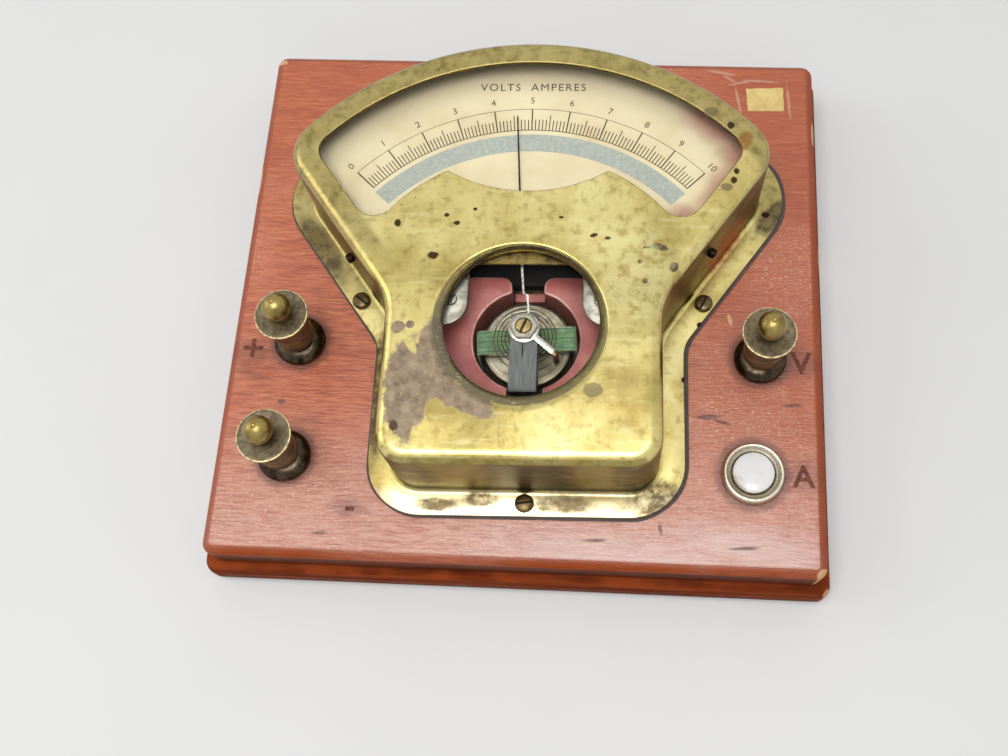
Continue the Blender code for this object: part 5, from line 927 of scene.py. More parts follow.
def white_button():
    paint = Paint("white_button", Roughness=0.25, Coat_Weight=0.5, Coat_Roughness=0.1)
    place = paint.place(wood_place(BUTTON).translation)
    cloudy = place.noise(0.35, 4, 0.6)
    stain = place.patch(place.ragged(0.7, 0.6), 0.5, (-4.4, -3.4, 1.6, 2.6, 38))
    colour = cloudy.fade(0.35, 0.68).mix((0.995, 0.99, 0.985), (0.97, 0.965, 0.95)).coated(
        (stain * 0.5, (0.66, 0.55, 0.42)),
        (place.split()[2].fade(2.2, 0.6), (0.7, 0.64, 0.54)),
    )
    return paint.done(colour, (cloudy, 0.02, 0.3))


def paper_label():
    paint = Paint("paper_label", Roughness=0.85)
    place = paint.place((0.0731, 0.07, 0))
    fibres = place.noise(2.4, 4, 0.7)
    colour = place.noise(0.22, 4, 0.6).fade(0.35, 0.66).mix((0.99, 0.89, 0.6), (0.92, 0.79, 0.5))
    colour = colour.coated((fibres.fade(0.52, 0.75, 0.35), (0.68, 0.54, 0.32)))
    return paint.done(colour, (fibres, 0.03, 0.5))


def plain_cloth(name, light, dark, scale, roughness=0.85):
    paint = Paint(name, Roughness=roughness)
    fibres = paint.place().noise(scale, 4, 0.65)
    return paint.done(fibres.fade(0.35, 0.68).mix(light, dark), (fibres, 0.04, 0.6))


def printing(name, dark, light, scale=1.2, rough=0.65, worn=0.72, roughness=0.8):
    """Ink or a stamped mark, worn in places."""
    paint = Paint(name, Roughness=roughness)
    return paint.done(paint.place().noise(scale, 4, rough).fade(0.4, worn).mix(dark, light))


FINISHES = {make.__name__: make() for make in (
    red_wood, plinth_wood, black_board, felt, cover_brass, post_brass, clear_glass, cork, grey_metal, cream_card,
    red_enamel, turned_iron, green_silk, black_bar, lever_steel, pointer_metal, plated_ring, white_button, paper_label,
)}
GRIME = (0.22, 0.18, 0.12)
for row in (
    ("screw_bronze", (0.48, 0.41, 0.27), (0.32, 0.27, 0.18), GRIME, 0.36, 1),
    ("inner_brass", (0.56, 0.48, 0.28), (0.33, 0.28, 0.17), GRIME, 0.38),
    ("jewel_brass", (0.72, 0.62, 0.42), (0.54, 0.45, 0.28), (0.34, 0.27, 0.17), 0.3),
    ("foot_bronze", (0.34, 0.29, 0.23), (0.2, 0.17, 0.14), (0.13, 0.11, 0.09), 0.22, 0.6),
    ("side_screw_black", (0.19, 0.15, 0.11), (0.11, 0.09, 0.07), (0.11, 0.09, 0.07), 0.4, 1),
    ("former_metal", (0.72, 0.71, 0.68), (0.5, 0.49, 0.46), (0.5, 0.49, 0.46), 0.38),
    ("bright_steel", (0.82, 0.81, 0.77), (0.6, 0.58, 0.53), (0.42, 0.38, 0.32), 0.24, 0.8),
    ("nut_steel", (0.68, 0.66, 0.6), (0.56, 0.54, 0.48), (0.56, 0.54, 0.48), 0.32, 0.3),
    ("spring_bronze", (0.42, 0.32, 0.22), (0.26, 0.19, 0.13), (0.26, 0.19, 0.13), 0.3, 1),
):
    FINISHES[row[0]] = aged_metal(*row)
FINISHES["dark_brass"] = FINISHES["foot_bronze"]
for row in (
    # slot_shade is a dark finish for painted shade in the bottom of screw slots
    ("slot_shade", (0.1, 0.08, 0.06), (0.17, 0.13, 0.09), 3),
    ("fibre", (0.42, 0.2, 0.14), (0.3, 0.13, 0.1), 0.9, 0.65),
    ("spool_wood", (0.66, 0.5, 0.32), (0.5, 0.36, 0.22), 0.6, 0.6),
    ("resistor_silk", (0.48, 0.42, 0.24), (0.3, 0.25, 0.13), 2),
    ("wire_cotton", (0.36, 0.3, 0.22), (0.2, 0.16, 0.12), 3),
):
    FINISHES[row[0]] = plain_cloth(*row)
for row in (
    ("scale_print", (0.16, 0.12, 0.09), (0.3, 0.23, 0.16)),
    ("scale_band", (0.54, 0.56, 0.53), (0.615, 0.63, 0.59)),
    ("stamped_mark", (0.34, 0.17, 0.12), (0.6, 0.33, 0.24), 1.6, 0.7, 0.66, 0.7),
):
    FINISHES[row[0]] = printing(*row)


# Repeated shapes

class Pattern:
    """A Geometry Nodes tree with named sizes, run once and kept as a plain mesh."""

    def __init__(self, name):
        self.tree = bpy.data.node_groups.new(name, "GeometryNodeTree")
        self.tree.interface.new_socket("Geometry", in_out="OUTPUT", socket_type="NodeSocketGeometry")
        self.input = self.tree.nodes.new("NodeGroupInput")
        self.names = {}
        self.values = {}

    def sizes(self, **values):
        """Adds an input for each value: whole numbers, lengths, or a material if it is None."""
        found = []
        for name, value in values.items():
            kind = {int: "Int", float: "Float"}.get(type(value), "Material")
            label = name.replace("_", " ")
            socket = self.tree.interface.new_socket(label, in_out="INPUT", socket_type="NodeSocket" + kind)
            self.names[name] = socket.identifier
            self.values[name] = value
            found.append(Value(self.input.outputs[label]))
        return found

    def add(self, kind, inputs=(), out=0, **settings):
        return add(self.tree, kind, inputs, out, **settings)

    def vector(self, x=0, y=0, z=0):
        return self.add("ShaderNodeCombineXYZ", (x, y, z))

    def place_on(self, points, shape, turn, scale=(1, 1, 1)):
        """Puts the shape on the points and closes the tree."""
        inputs = {"Points": points, "Instance": shape, "Rotation": self.vector(z=turn), "Scale": scale}
        real = self.add("GeometryNodeRealizeInstances", (self.add("GeometryNodeInstanceOnPoints", inputs),))
        painted = self.add("GeometryNodeSetMaterial", {"Geometry": real, "Material": self.sizes(Finish=None)[0]})
        put(self.tree.nodes.new("NodeGroupOutput").inputs["Geometry"], painted)

    def cubes(self, count, position, turn, size):
        points = self.add("GeometryNodePoints", {"Count": count, "Position": self.vector(*position)})
        self.place_on(points, self.add("GeometryNodeMeshCube"), turn, self.vector(*size))

    def mesh(self, look, place=Matrix(), **changes):
        obj = linked("pattern", bpy.data.meshes.new("pattern"))
        modifier = obj.modifiers.new("pattern", "NODES")
        modifier.node_group = self.tree
        for name, value in {**self.values, **changes, "Finish": FINISHES[look]}.items():
            modifier[self.names[name]] = value
        mesh = plain_mesh(obj)
        mesh.transform(place)
        return mesh


def tick_pattern():
    """Scale ticks: every tenth is long and every fifth is half long."""
    made = Pattern("scale_ticks")
    count, span, inner, short, half, full, width, deep = made.sizes(
        Count=101, Half_Span=math.radians(46.2), Base_Radius=63.3, Short_Length=3.6, Half_Length=5.2, Long_Length=7.2,
        Width=0.29, Thickness=0.02,
    )
    index = made.add("GeometryNodeInputIndex")
    angle = span - index * (span * 2.0 / (count - 1))
    is_full = index.math("MODULO", 10).math("COMPARE")
    is_half = index.math("MODULO", 5).math("COMPARE")
    length = short + is_half * (half - short) + is_full * (full - half)
    radius = inner + length / 2
    x = radius * angle.math("SINE") * -1
    wide = width * (is_full * 0.35 + 1)
    made.cubes(count, (x, radius * angle.math("COSINE")), angle, (wide, length, deep))
    return made


def ridge_pattern():
    """Upright ridges round a barrel, as on a knurled nut."""
    made = Pattern("knurled_ring")
    count, radius, width, deep, tall, lift = made.sizes(
        Count=56, Radius=5.8, Ridge_Width=0.34, Ridge_Depth=0.3, Ridge_Height=2.2, Height=14.6,
    )
    angle = made.add("GeometryNodeInputIndex") * (2 * math.pi) / count
    place = (radius * angle.math("COSINE"), radius * angle.math("SINE"), lift)
    made.cubes(count, place, angle, (deep, width, tall))
    return made


def screw_pattern():
    """Slotted screw heads at the corners of a rectangle, their slots turned by chance."""
    made = Pattern("slotted_screws")
    size_x, size_y, radius, tall, slot, deep, seed = made.sizes(
        Spread_X=167.0, Spread_Y=158.1, Head_Radius=2.5, Head_Height=0.9, Slot_Width=0.55, Slot_Depth=0.5, Seed=7,
    )
    grid = made.add("GeometryNodeMeshGrid", {"Size X": size_x, "Size Y": size_y, "Vertices X": 2, "Vertices Y": 2})
    head = made.add("GeometryNodeMeshCylinder", {"Vertices": 28, "Radius": radius, "Depth": tall})
    cutter = made.add("GeometryNodeMeshCube", {"Size": made.vector(radius * 3, slot, deep)})
    cutter = made.add("GeometryNodeTransform", {"Geometry": cutter, "Translation": made.vector(z=tall / 2)})
    cut = {"Mesh 1": head, "Mesh 2": cutter}
    slotted = made.add("GeometryNodeMeshBoolean", cut, operation="DIFFERENCE")
    chance = made.tree.nodes.new("FunctionNodeRandomValue")
    chance.data_type = "FLOAT"
    limits = [socket for socket in chance.inputs if socket.enabled]
    for socket, value in ((limits[0], 0), (limits[1], math.pi), (chance.inputs["Seed"], seed)):
        put(socket, value)
    made.place_on(grid, slotted, Value(next(socket for socket in chance.outputs if socket.enabled)))
    return made


TICKS = tick_pattern()
RIDGES = ridge_pattern()
SCREWS = screw_pattern()


# Wooden base

BOARD_LOW, BOARD_HIGH = (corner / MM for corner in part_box("base_board"))
POCKET = (33, -38.5, 24)
LEDGE = 5
BORE_RADIUS = 7.3


def make_board():
    outline = rectangle(BOARD_HIGH.x, BOARD_HIGH.y, 3.6, 8)
    rows = [(-0.3, BOARD_LOW.z), (0, BOARD_LOW.z + 0.3)]
    rows += [(-3.3 * cosine, BOARD_HIGH.z - 3.3 * sine) for sine, cosine in quarter(10)]
    rows.append((-3.5, BOARD_HIGH.z))
    bm = bmesh.new()
    outside = tube(bm, [ring(outline, *row) for row in rows])
    half, front, back = POCKET
    pocket = []
    for ledge, heights in ((0, (0, -5.5)), (LEDGE, (-5.5, -12))):
        inner = half - ledge
        corners = [(inner, back - ledge), (-inner, back - ledge), (-inner, front + ledge), (inner, front + ledge)]
        pocket += [ring(corners, 0, z) for z in heights]
    walls = tube(bm, pocket, BENCH.inverted() @ STAND)
    bore = circle((BUTTON.x, BUTTON.y), BORE_RADIUS, 48)
    bore = tube(bm, [ring(bore, 0, z) for z in (BOARD_HIGH.z, BOARD_LOW.z)])
    fill(bm, outside[-1], walls[0], bore[0])
    fill(bm, outside[0], walls[-1], bore[1])
    piece("board", bm, BENCH, "red_wood", "base_board")


def make_plinth():
    low = BOARD_LOW.z - 10.4
    top = BOARD_LOW.z - 0.3
    bead = top - 0.7
    setback, step_out, out = -1.05, 1.45, 3.2
    rows = [(setback, top), (setback, bead + 0.15), (setback + 0.1, bead)]
    for step, (sine, cosine) in enumerate(quarter(8)):
        distance = out - (out - step_out) * sine
        z = bead - 5.8 * cosine
        rows.append((distance, z))
        if step == 5:
            rows += [(distance - 0.9, z - 0.1), (distance - 0.9, z - 0.6), (distance + 0.04, z - 0.8)]
    rows = [(*row, 3.5) for row in rows + [(out, low + 0.25), (out - 0.25, low)]]
    rows += [(0, low, 1.5), (0, low + 1.9, 1.5), (-11, low + 1.9, 1.5), (-11, top, 1.5)]
    rings = []
    for distance, z, radius in rows:
        rings.append(ring(rectangle(BOARD_HIGH.x + distance, BOARD_HIGH.y + distance, radius, 8), 0, z))
    piece("plinth", loft(rings, True), BENCH, "plinth_wood", "base_plinth", sharp_deg=40)


def make_label():
    corners = [(67.7, 65.6), (79.3, 65.9), (79.1, 74.6), (67.2, 74)]
    points = []
    for (x, y), (end_x, end_y) in zip(corners, corners[1:] + corners[:1]):
        for share in (step / 8 for step in range(8)):
            ragged = 0.09 * math.sin(11 * share + x)
            points.append((x + (end_x - x) * share + ragged, y + (end_y - y) * share - ragged))
    piece("bare_label", slab(points, 0, 0.09), WOOD, "paper_label")


def words_mesh(text, size, place, bold=0, spacing=1):
    """Letters as a thin flat mesh, centred."""
    curve = bpy.data.curves.new("letters", "FONT")
    curve.body = text
    curve.size = size
    curve.align_x = curve.align_y = "CENTER"
    curve.extrude = 0.012
    curve.offset = bold
    curve.space_character = spacing
    curve.resolution_u = 3
    mesh = plain_mesh(linked("letters", curve))
    mesh.transform(place)
    return mesh


def make_stamps():
    marks = (("+", -82, -22, 12), ("-", -46.9, -68.9, 9), ("V", 82.6, -21.2, 9.6), ("A", 82.5, -55.6, 9))
    meshes = [words_mesh(text, size, at(x, y, 0.012), 0.2) for text, x, y, size in marks]
    joined("terminal_marks", meshes, WOOD, "stamped_mark")


def make_bottom_screws():
    place = BENCH @ at(0, 0, 0.85) @ Matrix.Rotation(math.pi, 4, "X")
    shown("bottom_screws", SCREWS.mesh("screw_bronze", place), "screw_bronze")


# Brass cover

HALF_WIDTH, NECK_Y, SLANT_DEG = 38.2, 6.23, 54.03
TOP, SHEET, EDGE = 32, 1, 3.5
LIP, RIM = ((-0.5, 0), 21.6), ((-0.6, -1.8), 24)
NECK = Vector((HALF_WIDTH, NECK_Y))
ALONG = Vector(polar(1, SLANT_DEG))
INWARD = Vector((-ALONG.y, ALONG.x))


def slant_fillet(inset, fillet, reach):
    base = NECK + INWARD * (inset + fillet)
    half = base.dot(ALONG)
    return base + ALONG * (-half + math.sqrt(half * half - base.length_squared + reach * reach))


def slanted_half(inset, back_radius, fillet):
    centre = slant_fillet(inset, fillet, back_radius - fillet)
    last = direction_deg(centre)
    return arc(centre, fillet, direction_deg(-INWARD), last, 12) + arc((0, 0), back_radius, last, 90, 26)[1:]


def cover_outline():
    back = slanted_half(0, 90, 12)
    corners = [(0, -40.8, 0), (HALF_WIDTH, -40.8, 8.5), (HALF_WIDTH, NECK_Y, 18), (*back[0], 0)]
    return mirrored(rounded(corners, 12, True)[:-1] + back)


def window_outline():
    lobe = slant_fillet(7.7, 6.3, 57.3)
    inner = direction_deg(lobe)
    centre_y, radius, front_radius = 82.6, 43.6, 51
    cusp_y = (front_radius ** 2 - radius ** 2 + centre_y ** 2) / (2 * centre_y)
    front = arc((0, 0), front_radius, math.degrees(math.asin(cusp_y / front_radius)), inner, 16)
    low = arc((0, centre_y), radius, -90, direction_deg((front[0][0], cusp_y - centre_y)), 16)
    lobe_arc = arc(lobe, 6.3, inner - 180, direction_deg(-INWARD), 14)
    return mirrored(low[:-1] + front[:-1] + lobe_arc + slanted_half(7.7, 82, 6))


def dish_circle(share, change, z):
    """A ring of the dish, from its lip at share 0 to its rim at share 1."""
    (lip_x, lip_y), lip_radius = LIP
    (rim_x, rim_y), rim_radius = RIM
    centre = (lip_x + (rim_x - lip_x) * share, lip_y + (rim_y - lip_y) * share)
    return ring(circle(centre, lip_radius + (rim_radius - lip_radius) * share + change, 96), 0, z)


def cover_shell():
    """Rows of a distance from the outline and a height: inside, flange, foot, wall and top."""
    low, under = 1.2, 2.1
    inside = EDGE - SHEET
    rows = [(-EDGE - 0.4, TOP - SHEET)]
    rows += [(-SHEET - inside * cosine, TOP - SHEET - inside * sine) for sine, cosine in reversed(quarter(4))]
    rows += [(-SHEET, low), (7.3, low), (7.5, low + 0.2), (7.5, under - 0.25), (7.42, under - 0.07), (7.25, under)]
    rows += [(1.6, under)] + [(1.3 * sine, under + 1.3 * cosine) for sine, cosine in quarter(6)]
    rows += [(-EDGE * cosine, TOP - EDGE * sine) for sine, cosine in quarter(12)]
    return rows + [(-EDGE - 0.5, TOP)]


def make_cover():
    bm = bmesh.new()
    outline, window = cover_outline(), window_outline()
    shell = tube(bm, [ring(outline, *row) for row in cover_shell()])
    rows = [(0.7, TOP), (0.35, TOP)] + [(0.35 * sine, TOP - 0.35 * cosine) for sine, cosine in quarter(4)[1:]]
    rows += [(0, TOP - SHEET + 0.1), (0.1, TOP - SHEET), (0.6, TOP - SHEET)]
    pane = tube(bm, [ring(window, *row) for row in rows])
    rings = [ring(circle(RIM[0], RIM[1] + change, 96), 0, TOP) for change in (1.1, 0.5)]
    rings.append(dish_circle(1, 0.2, TOP - 0.08))
    for share in (1 - step / 10 for step in range(1, 11)):
        bulge = -0.3 * math.sin(math.pi * share ** 0.8)
        rings.append(dish_circle(share, bulge, 29 + 2.75 * share))
    lip = ((0, -0.02, 28.8), (0, 0.02, 28.5), (0, 0.2, 28.4), (0, 1, 28.42), (0.85, 1, 31), (0.85, 1.6, 31))
    opening = tube(bm, rings + [dish_circle(*row) for row in lip])
    fill(bm, shell[-1], pane[0], opening[0])
    fill(bm, shell[0], pane[-1], opening[-1])
    piece("cover", bm, STAND, "cover_brass", "brass_cover", sharp_deg=50)


def make_gasket():
    outline = cover_outline()
    middle_y = 20
    wavy = []
    for index, (x, y, _) in enumerate(ring([(x + 0.3, y + 0.5) for x, y in outline], 8.4, 0)):
        wave = 0.12 * math.sin(index * 0.9) + 0.1 * math.sin(index * 0.37 + 1)
        share = 1 + wave / math.hypot(x, y - middle_y)
        wavy.append((x * share, middle_y + (y - middle_y) * share))
    rows = ((outline, 2.5, 0.3), (wavy, 0, 0.32), (wavy, 0.14, 0.5), (wavy, 0.1, 0.75), (wavy, -0.1, 0.9),
            (outline, 2.5, 0.9))
    piece("gasket", loft([ring(*row) for row in rows], True), STAND, "felt", "cover_gasket")


def screw_mesh(head, slot_deg, place, width=0.7, depth=0.8):
    """A turned screw whose slot is cut across its head."""
    reach = max(radius for radius, _ in head) + 1
    top = head[-1][1]
    tool = moved(box(-reach, reach, -width / 2, width / 2, top - depth, top + 1), turn_z(slot_deg))
    return cut_mesh(turned(head, 40), [tool], 30, place)


def slot_bed(length, width, low, high, place):
    """A dark sheet in the bottom of a screw slot: painted shade."""
    return mesh_from(box(-length / 2, length / 2, -width / 2, width / 2, low, high), 30, place)


def make_cover_screws():
    head = [(0, -6), (0.95, -6), (0.95, 2.4), (2.55, 2.4), (2.72, 2.5), (2.75, 2.7), (2.68, 2.95), (2.45, 3.2),
            (2.05, 3.4), (1.4, 3.54), (0.7, 3.6), (0, 3.62)]
    places = ((51.8, 17.4, 62), (-51.8, 17.4, -38), (0.1, -44.6, 8))
    meshes = [screw_mesh(head, slot_deg, at(x, y)) for x, y, slot_deg in places]
    slots = [slot_bed(5, 0.62, 2.9, 3.1, at(x, y) @ turn_z(slot_deg)) for x, y, slot_deg in places]
    replaced = "cover_screw_1 cover_screw_2 cover_screw_3"
    joined("flange_screws", meshes, STAND, "screw_bronze", replaced)
    joined("flange_screw_slots", slots, STAND, "slot_shade")


def make_side_screws():
    head = [(0, 3), (0.8, 3), (0.8, -0.3), (1.4, -0.3), (1.45, -0.5), (1.45, -1.7), (1.35, -2.05), (1.05, -2.22),
            (0.5, -2.3), (0, -2.3)]
    for name, distance, sign in (("1", 23.1, 1), ("2", 20.4, -1)):
        point = NECK + ALONG * distance
        across = Vector((sign * INWARD.x, INWARD.y, 0)).to_track_quat("Z", "Y").to_matrix().to_4x4()
        place = STAND @ at(sign * point.x, point.y, 22.6) @ across
        tool = moved(box(-3, 3, -0.22, 0.22, -3, -1.8), turn_z(35))
        mesh = cut_mesh(turned(head, 32), [tool], 30, place)
        shown(f"side_screw_head_{name}", mesh, "side_screw_black", f"side_screw_{name}")


# Scale

CARD_TOP = 24.6
LUG_SCREW = [(0, 19.8), (0.9, 19.8), (0.9, 24.5), (1.8, 24.5), (1.9, 24.6), (1.88, 25), (1.7, 25.3), (1.2, 25.38),
             (0, 25.4)]


def slant_x(y, inset):
    base = NECK + INWARD * inset
    return base.x + ALONG.x * (y - base.y) / ALONG.y


def make_scale_plate():
    corners = [(0, 22.5, 0), (16.2, 22.5, 0), (16.2, 0.9, 7), (28.5, 0.9, 0.5), (28.5, 14, 0),
               (slant_x(14, 4.5), 14, 0)]
    outline = mirrored(rounded(corners, 10, True) + slanted_half(4.5, 85.5, 7.5))
    piece("scale_base", slab(outline, 23.4, 24.2, 0.22, 3), STAND, "grey_metal", "scale_plate")
    meshes = [screw_mesh(LUG_SCREW, turn, at(x, 8.6), 0.5, 0.5) for x, turn in ((21, 25), (-21, 110))]
    joined("lug_screws", meshes, STAND, "bright_steel", "scale_screw_1 scale_screw_2")


def arc_strip(inner, outer, half_deg, thick):
    """A strip along the scale, lying on the card."""
    outline = arc((0, 0), outer, 90 - half_deg, 90 + half_deg, 120)
    return slab(outline + arc((0, 0), inner, 90 + half_deg, 90 - half_deg, 120), CARD_TOP, CARD_TOP + thick)


def make_card():
    inset, front_y = 2.2, 26.8
    back = slanted_half(inset, 90 - inset, 12 - inset)
    fan = mirrored([(0, front_y), (slant_x(front_y, inset), front_y)] + back)
    piece("scale_sheet", slab(fan, 24.3, CARD_TOP), STAND, "cream_card", "scale_card")
    piece("scale_grey_band", arc_strip(56.1, 61.8, 46.9, 0.015), STAND, "scale_band")
    meshes = [mesh_from(arc_strip(*radii, 46.25, 0.025)) for radii in ((63.18, 63.42), (70.42, 70.58))]
    meshes.append(TICKS.mesh("scale_print", at(0, 0, 24.617)))
    meshes.append(words_mesh("VOLTS  AMPERES", 3.6, at(0, 78, 24.615), 0, 1.2))
    for number in range(11):
        meshes.append(words_mesh(str(number), 3, turn_z(46.2 - 9.24 * number) @ at(0, 73.4, 24.615)))
    joined("scale_printing", meshes, STAND, "scale_print")


# Movement

def magnet_outline():
    gap, slot_half, bore_radius = 4.65, 5, 15.3
    gap_deg, slot_deg = (math.degrees(math.acos(half / bore_radius)) for half in (gap, slot_half))
    arch = arc((0, -6), 30, -90, 0, 28)
    tip = [(*arch[-1], 0), (30, 19.6, 3), (gap, 19.6, 3.1), (gap, polar(bore_radius, gap_deg)[1], 0.9),
           (*polar(bore_radius, gap_deg - 12), 0)]
    bore = arc((0, 0), bore_radius, gap_deg - 12, -slot_deg, 36)
    return mirrored(arch[:-1] + rounded(tip, 10, True)[:-1] + bore + arc((0, -21), slot_half, 0, -90, 10))


def make_magnet():
    piece("painted_magnet", slab(magnet_outline(), -2.4, 15.6, 0.8, 4), STAND, "red_enamel", "magnet", sharp_deg=45)


def make_core():
    profile = [(0, 2.6), (12.5, 2.6), (12.8, 2.7), (13, 3), (13, 11.4), (12.9, 11.75), (12.6, 11.95), (12.2, 12),
               (11.2, 12), (11.1, 11.9), (10.9, 11.9), (10.8, 12), (0, 12)]
    piece("core", turned(profile, 96), STAND, "turned_iron", "iron_core")


def coil_rectangle(half_x, low, high, radius, steps):
    """An upright rectangle of (x, height) points."""
    return [(x, z + (low + high) / 2) for x, z in rectangle(half_x, (high - low) / 2, radius, steps)]


def make_coil():
    inner = coil_rectangle(13.3, 1.4, 13.5, 0.3, 5)
    outer = coil_rectangle(13.65, 0.15, 14.75, 0.6, 5)
    sides = ((inner, -3.7), (outer, -3.7), (outer, 3.7), (inner, 3.7))
    frame_rings = [[(x, y, z) for x, z in outline] for outline, y in sides]
    piece("coil_frame", loft(frame_rings, True), SWING, "former_metal", "coil_former", "coil")
    loop = coil_rectangle(14.04, -0.24, 15.14, 0.99, 6)
    turns = 12
    path = []
    for index in range(len(loop) * turns + 1):
        x, z = loop[index % len(loop)]
        path.append((x, 0.6 * (index / len(loop) - turns / 2), z))
    winding = swept(path, 0.3, 6, across=Vector((0, 1, 0)))
    piece("silk_winding", winding, SWING, "green_silk", "coil_winding", "coil", 70)


def spiral_path(inner, turns, pitch, end_radius, end_deg, z):
    """A flat spiral that runs out to its fixed end over the last 144 degrees."""
    per_turn, tail, tail_deg = 40, 16, 144
    points = []
    for index in range(turns * per_turn + 1):
        degrees = end_deg - tail_deg - 360 * (turns * per_turn - index) / per_turn
        points.append((*polar(inner + pitch * index / per_turn, degrees), z))
    outer = inner + pitch * turns
    for share in (step / tail for step in range(1, tail + 1)):
        points.append((*polar(outer + (end_radius - outer) * share, end_deg - tail_deg * (1 - share)), z))
    return points


def make_bent_spring(name, path, first, last, weights, replaces=""):
    """A length of spring whose points follow one body at its first end and another at its last."""
    sides = 6
    mesh = mesh_from(swept(path, 0.19, sides, 0.8), 60, STAND)
    mesh.name = name
    mesh.materials.append(FINISHES["spring_bronze"])
    obj = linked(name, mesh)
    start, end = STAND @ Vector(path[0]), STAND @ Vector(path[-1])
    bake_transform(obj, first, last, tuple(start), tuple(end))
    shares = [weight for weight in weights for _ in range(sides)]
    mesh.attributes["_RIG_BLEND"].data.foreach_set("value", shares)
    if replaces:
        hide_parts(replaces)


def make_hairsprings():
    path = spiral_path(2.8, 6, 1.05, 10.8, LEVER_DEG, 17.2)
    split = len(path) - 57
    outward = [index / split for index in range(split + 1)]
    make_bent_spring(
        "hairspring_inner", path[:split + 1], "base", "coil", [1 - share for share in outward], "upper_hairspring",
    )
    outer = path[split:]
    make_bent_spring("hairspring_outer", outer, "base", "lever", [index / 56 for index in range(len(outer))])
    path = spiral_path(2.1, 4, 1.05, 8.9, -45, -1.62)
    shares = [1 - index / (len(path) - 1) for index in range(len(path))]
    make_bent_spring("under_hairspring", path, "base", "coil", shares, "lower_hairspring")


def hole(radius, low, high, steps=48):
    return turned([(0, low), (radius, low), (radius, high), (0, high)], steps)


def make_bridge():
    outline = [(4.4, 24), (-18.5, 24), (-18.5, -2.4), (-14.2, -2.4), (-14.2, 17.2), (-9.8, 21.5), (4.4, 21.5)]
    upright = Matrix(((0, 0, 1, 0), (1, 0, 0, 0), (0, 1, 0, 0), (0, 0, 0, 1)))
    bar = moved(slab(outline, -3.9, 3.9, 0.25, 3), upright)
    mesh = cut_mesh(bar, [hole(2.5, 20, 26, 40), box(-0.36, -0.04, -8, -3.5, 20, 26)], 30, STAND)
    shown("bridge_bar", mesh, "black_bar", "bridge")


def make_jewel():
    slot_deg = 68
    profile = [(0, 21.3), (0.7, 20.3), (2.2, 20.3), (2.2, 26.2), (2.12, 26.4), (1.9, 26.57), (1.2, 26.6), (0, 26.6)]
    head = screw_mesh(profile, slot_deg, STAND, 0.75, 1)
    shown("jewel_screw_head", head, "jewel_brass", "jewel_screw")
    shown("jewel_screw_slot", slot_bed(4.2, 0.7, 25.5, 25.8, STAND @ turn_z(slot_deg)), "slot_shade")
    nut = slab(circle((0, 0), 7 / math.sqrt(3), 6), 25.2, 26.2, 0.22, 1)
    mesh = cut_mesh(nut, [hole(2.35, 24, 28)], 25, STAND)
    shown("hexagon_nut", mesh, "nut_steel", "bridge_nut")


def make_lever():
    half_deg = math.degrees(math.asin(0.9 / 4.4))
    outline = arc((0, 0), 4.4, half_deg, 360 - half_deg, 48) + arc((11.3, 0), 0.9, -90, 90, 8)
    arm = cut_mesh(moved(slab(outline, 24.3, 24.9, 0.12), turn_z(LEVER_DEG)), [hole(2.5, 22, 28)], 25)
    leg = mesh_from(moved(box(11.6, 12.2, -0.8, 0.8, 16.8, 24.5, 0.1), turn_z(LEVER_DEG)), 30)
    joined("lever_arm", [arm, leg], STAND, "lever_steel", "zero_lever", "lever")


# Binding posts and button

FOOT = [(7.44, 0.3), (7.75, 0.75), (7.75, 1.56), (7.2, 2.46), (6.05, 3.27), (4.65, 3.72), (3.64, 4.08), (3.49, 4.8)]
DISC = [(2.2, 5.1), (4.5, 5.1), (4.6, 5.2), (4.6, 5.8), (4.5, 5.9), (2.2, 5.9)]
NUT = [(5.39, 0), (5.74, 0.47), (5.74, 5.34), (5.24, 5.97), (5.7, 7.06), (5.85, 9.73), (6.31, 13.19), (7.47, 14.6),
       (7.7, 15.23), (7.47, 15.7), (2.77, 15.31)]
BUTTON_RIDGE = [(9.15, 0.3), (9.15, 0.95), (9, 1.5), (8.74, 1.95), (8.45, 2.35), (8.15, 2.5), (7.85, 2.42),
                (7.6, 2.1), (7.3, 1.72), (6.9, 1.45), (6.5, 1.3), (6.3, 1.1)]
BUTTON_CAP = [(0, -11.2), (1.5, -11.2), (1.5, -1.6), (5.9, -1.6), (5.9, 1.9), (5.83, 2.2), (5.6, 2.45), (5.1, 2.58),
              (4, 2.68), (2.5, 2.75), (1, 2.79), (0, 2.8)]


def make_post(name, place):
    foot = [(0, -18.6), (1.9, -18.6), (1.9, 0.3)] + softened(FOOT) + [(1.9, 4.8), (1.9, 17), (0, 17)]
    piece(f"post_base_{name}", turned(foot, 64), place, "dark_brass", f"post_foot_{name}")
    disc = turned(DISC, 48, True)
    piece(f"post_disc_{name}", disc, place, "dark_brass", f"post_washer_{name}", f"washer_{name}")
    knob = [(0, 18), (2.2, 18), (2.2, 6.2)] + softened([(radius, 6.2 + z) for radius, z in NUT])
    knob += arc((0, 26.7), 4.05, -56, 80, 28) + [(0.62, 30.6), (0.5, 30.42), (0.25, 30.36), (0, 30.35)]
    meshes = [mesh_from(turned(knob, 72), 32), RIDGES.mesh("post_brass")]
    joined(f"post_knob_{name}", meshes, place, "post_brass", f"post_nut_{name}", f"nut_{name}")


def make_button():
    place = wood_place(BUTTON)
    profile = softened(BUTTON_RIDGE, 1) + [(6.3, -9), (2, -9), (2, -10), (7, -10), (7, 0.3)]
    piece("button_surround", turned(profile, 96, True), place, "plated_ring", "button_ring")
    piece("button_face", turned(BUTTON_CAP, 72), place, "white_button", "button_cap", "button")
    steps = 4 * 36 + 18
    path = [(*polar(4.2, 10 * index), -8.4 + 6.5 * index / steps) for index in range(steps + 1)]
    obj = piece("button_coil", swept(path, 0.3), place, "bright_steel", "button_spring")
    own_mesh(obj)


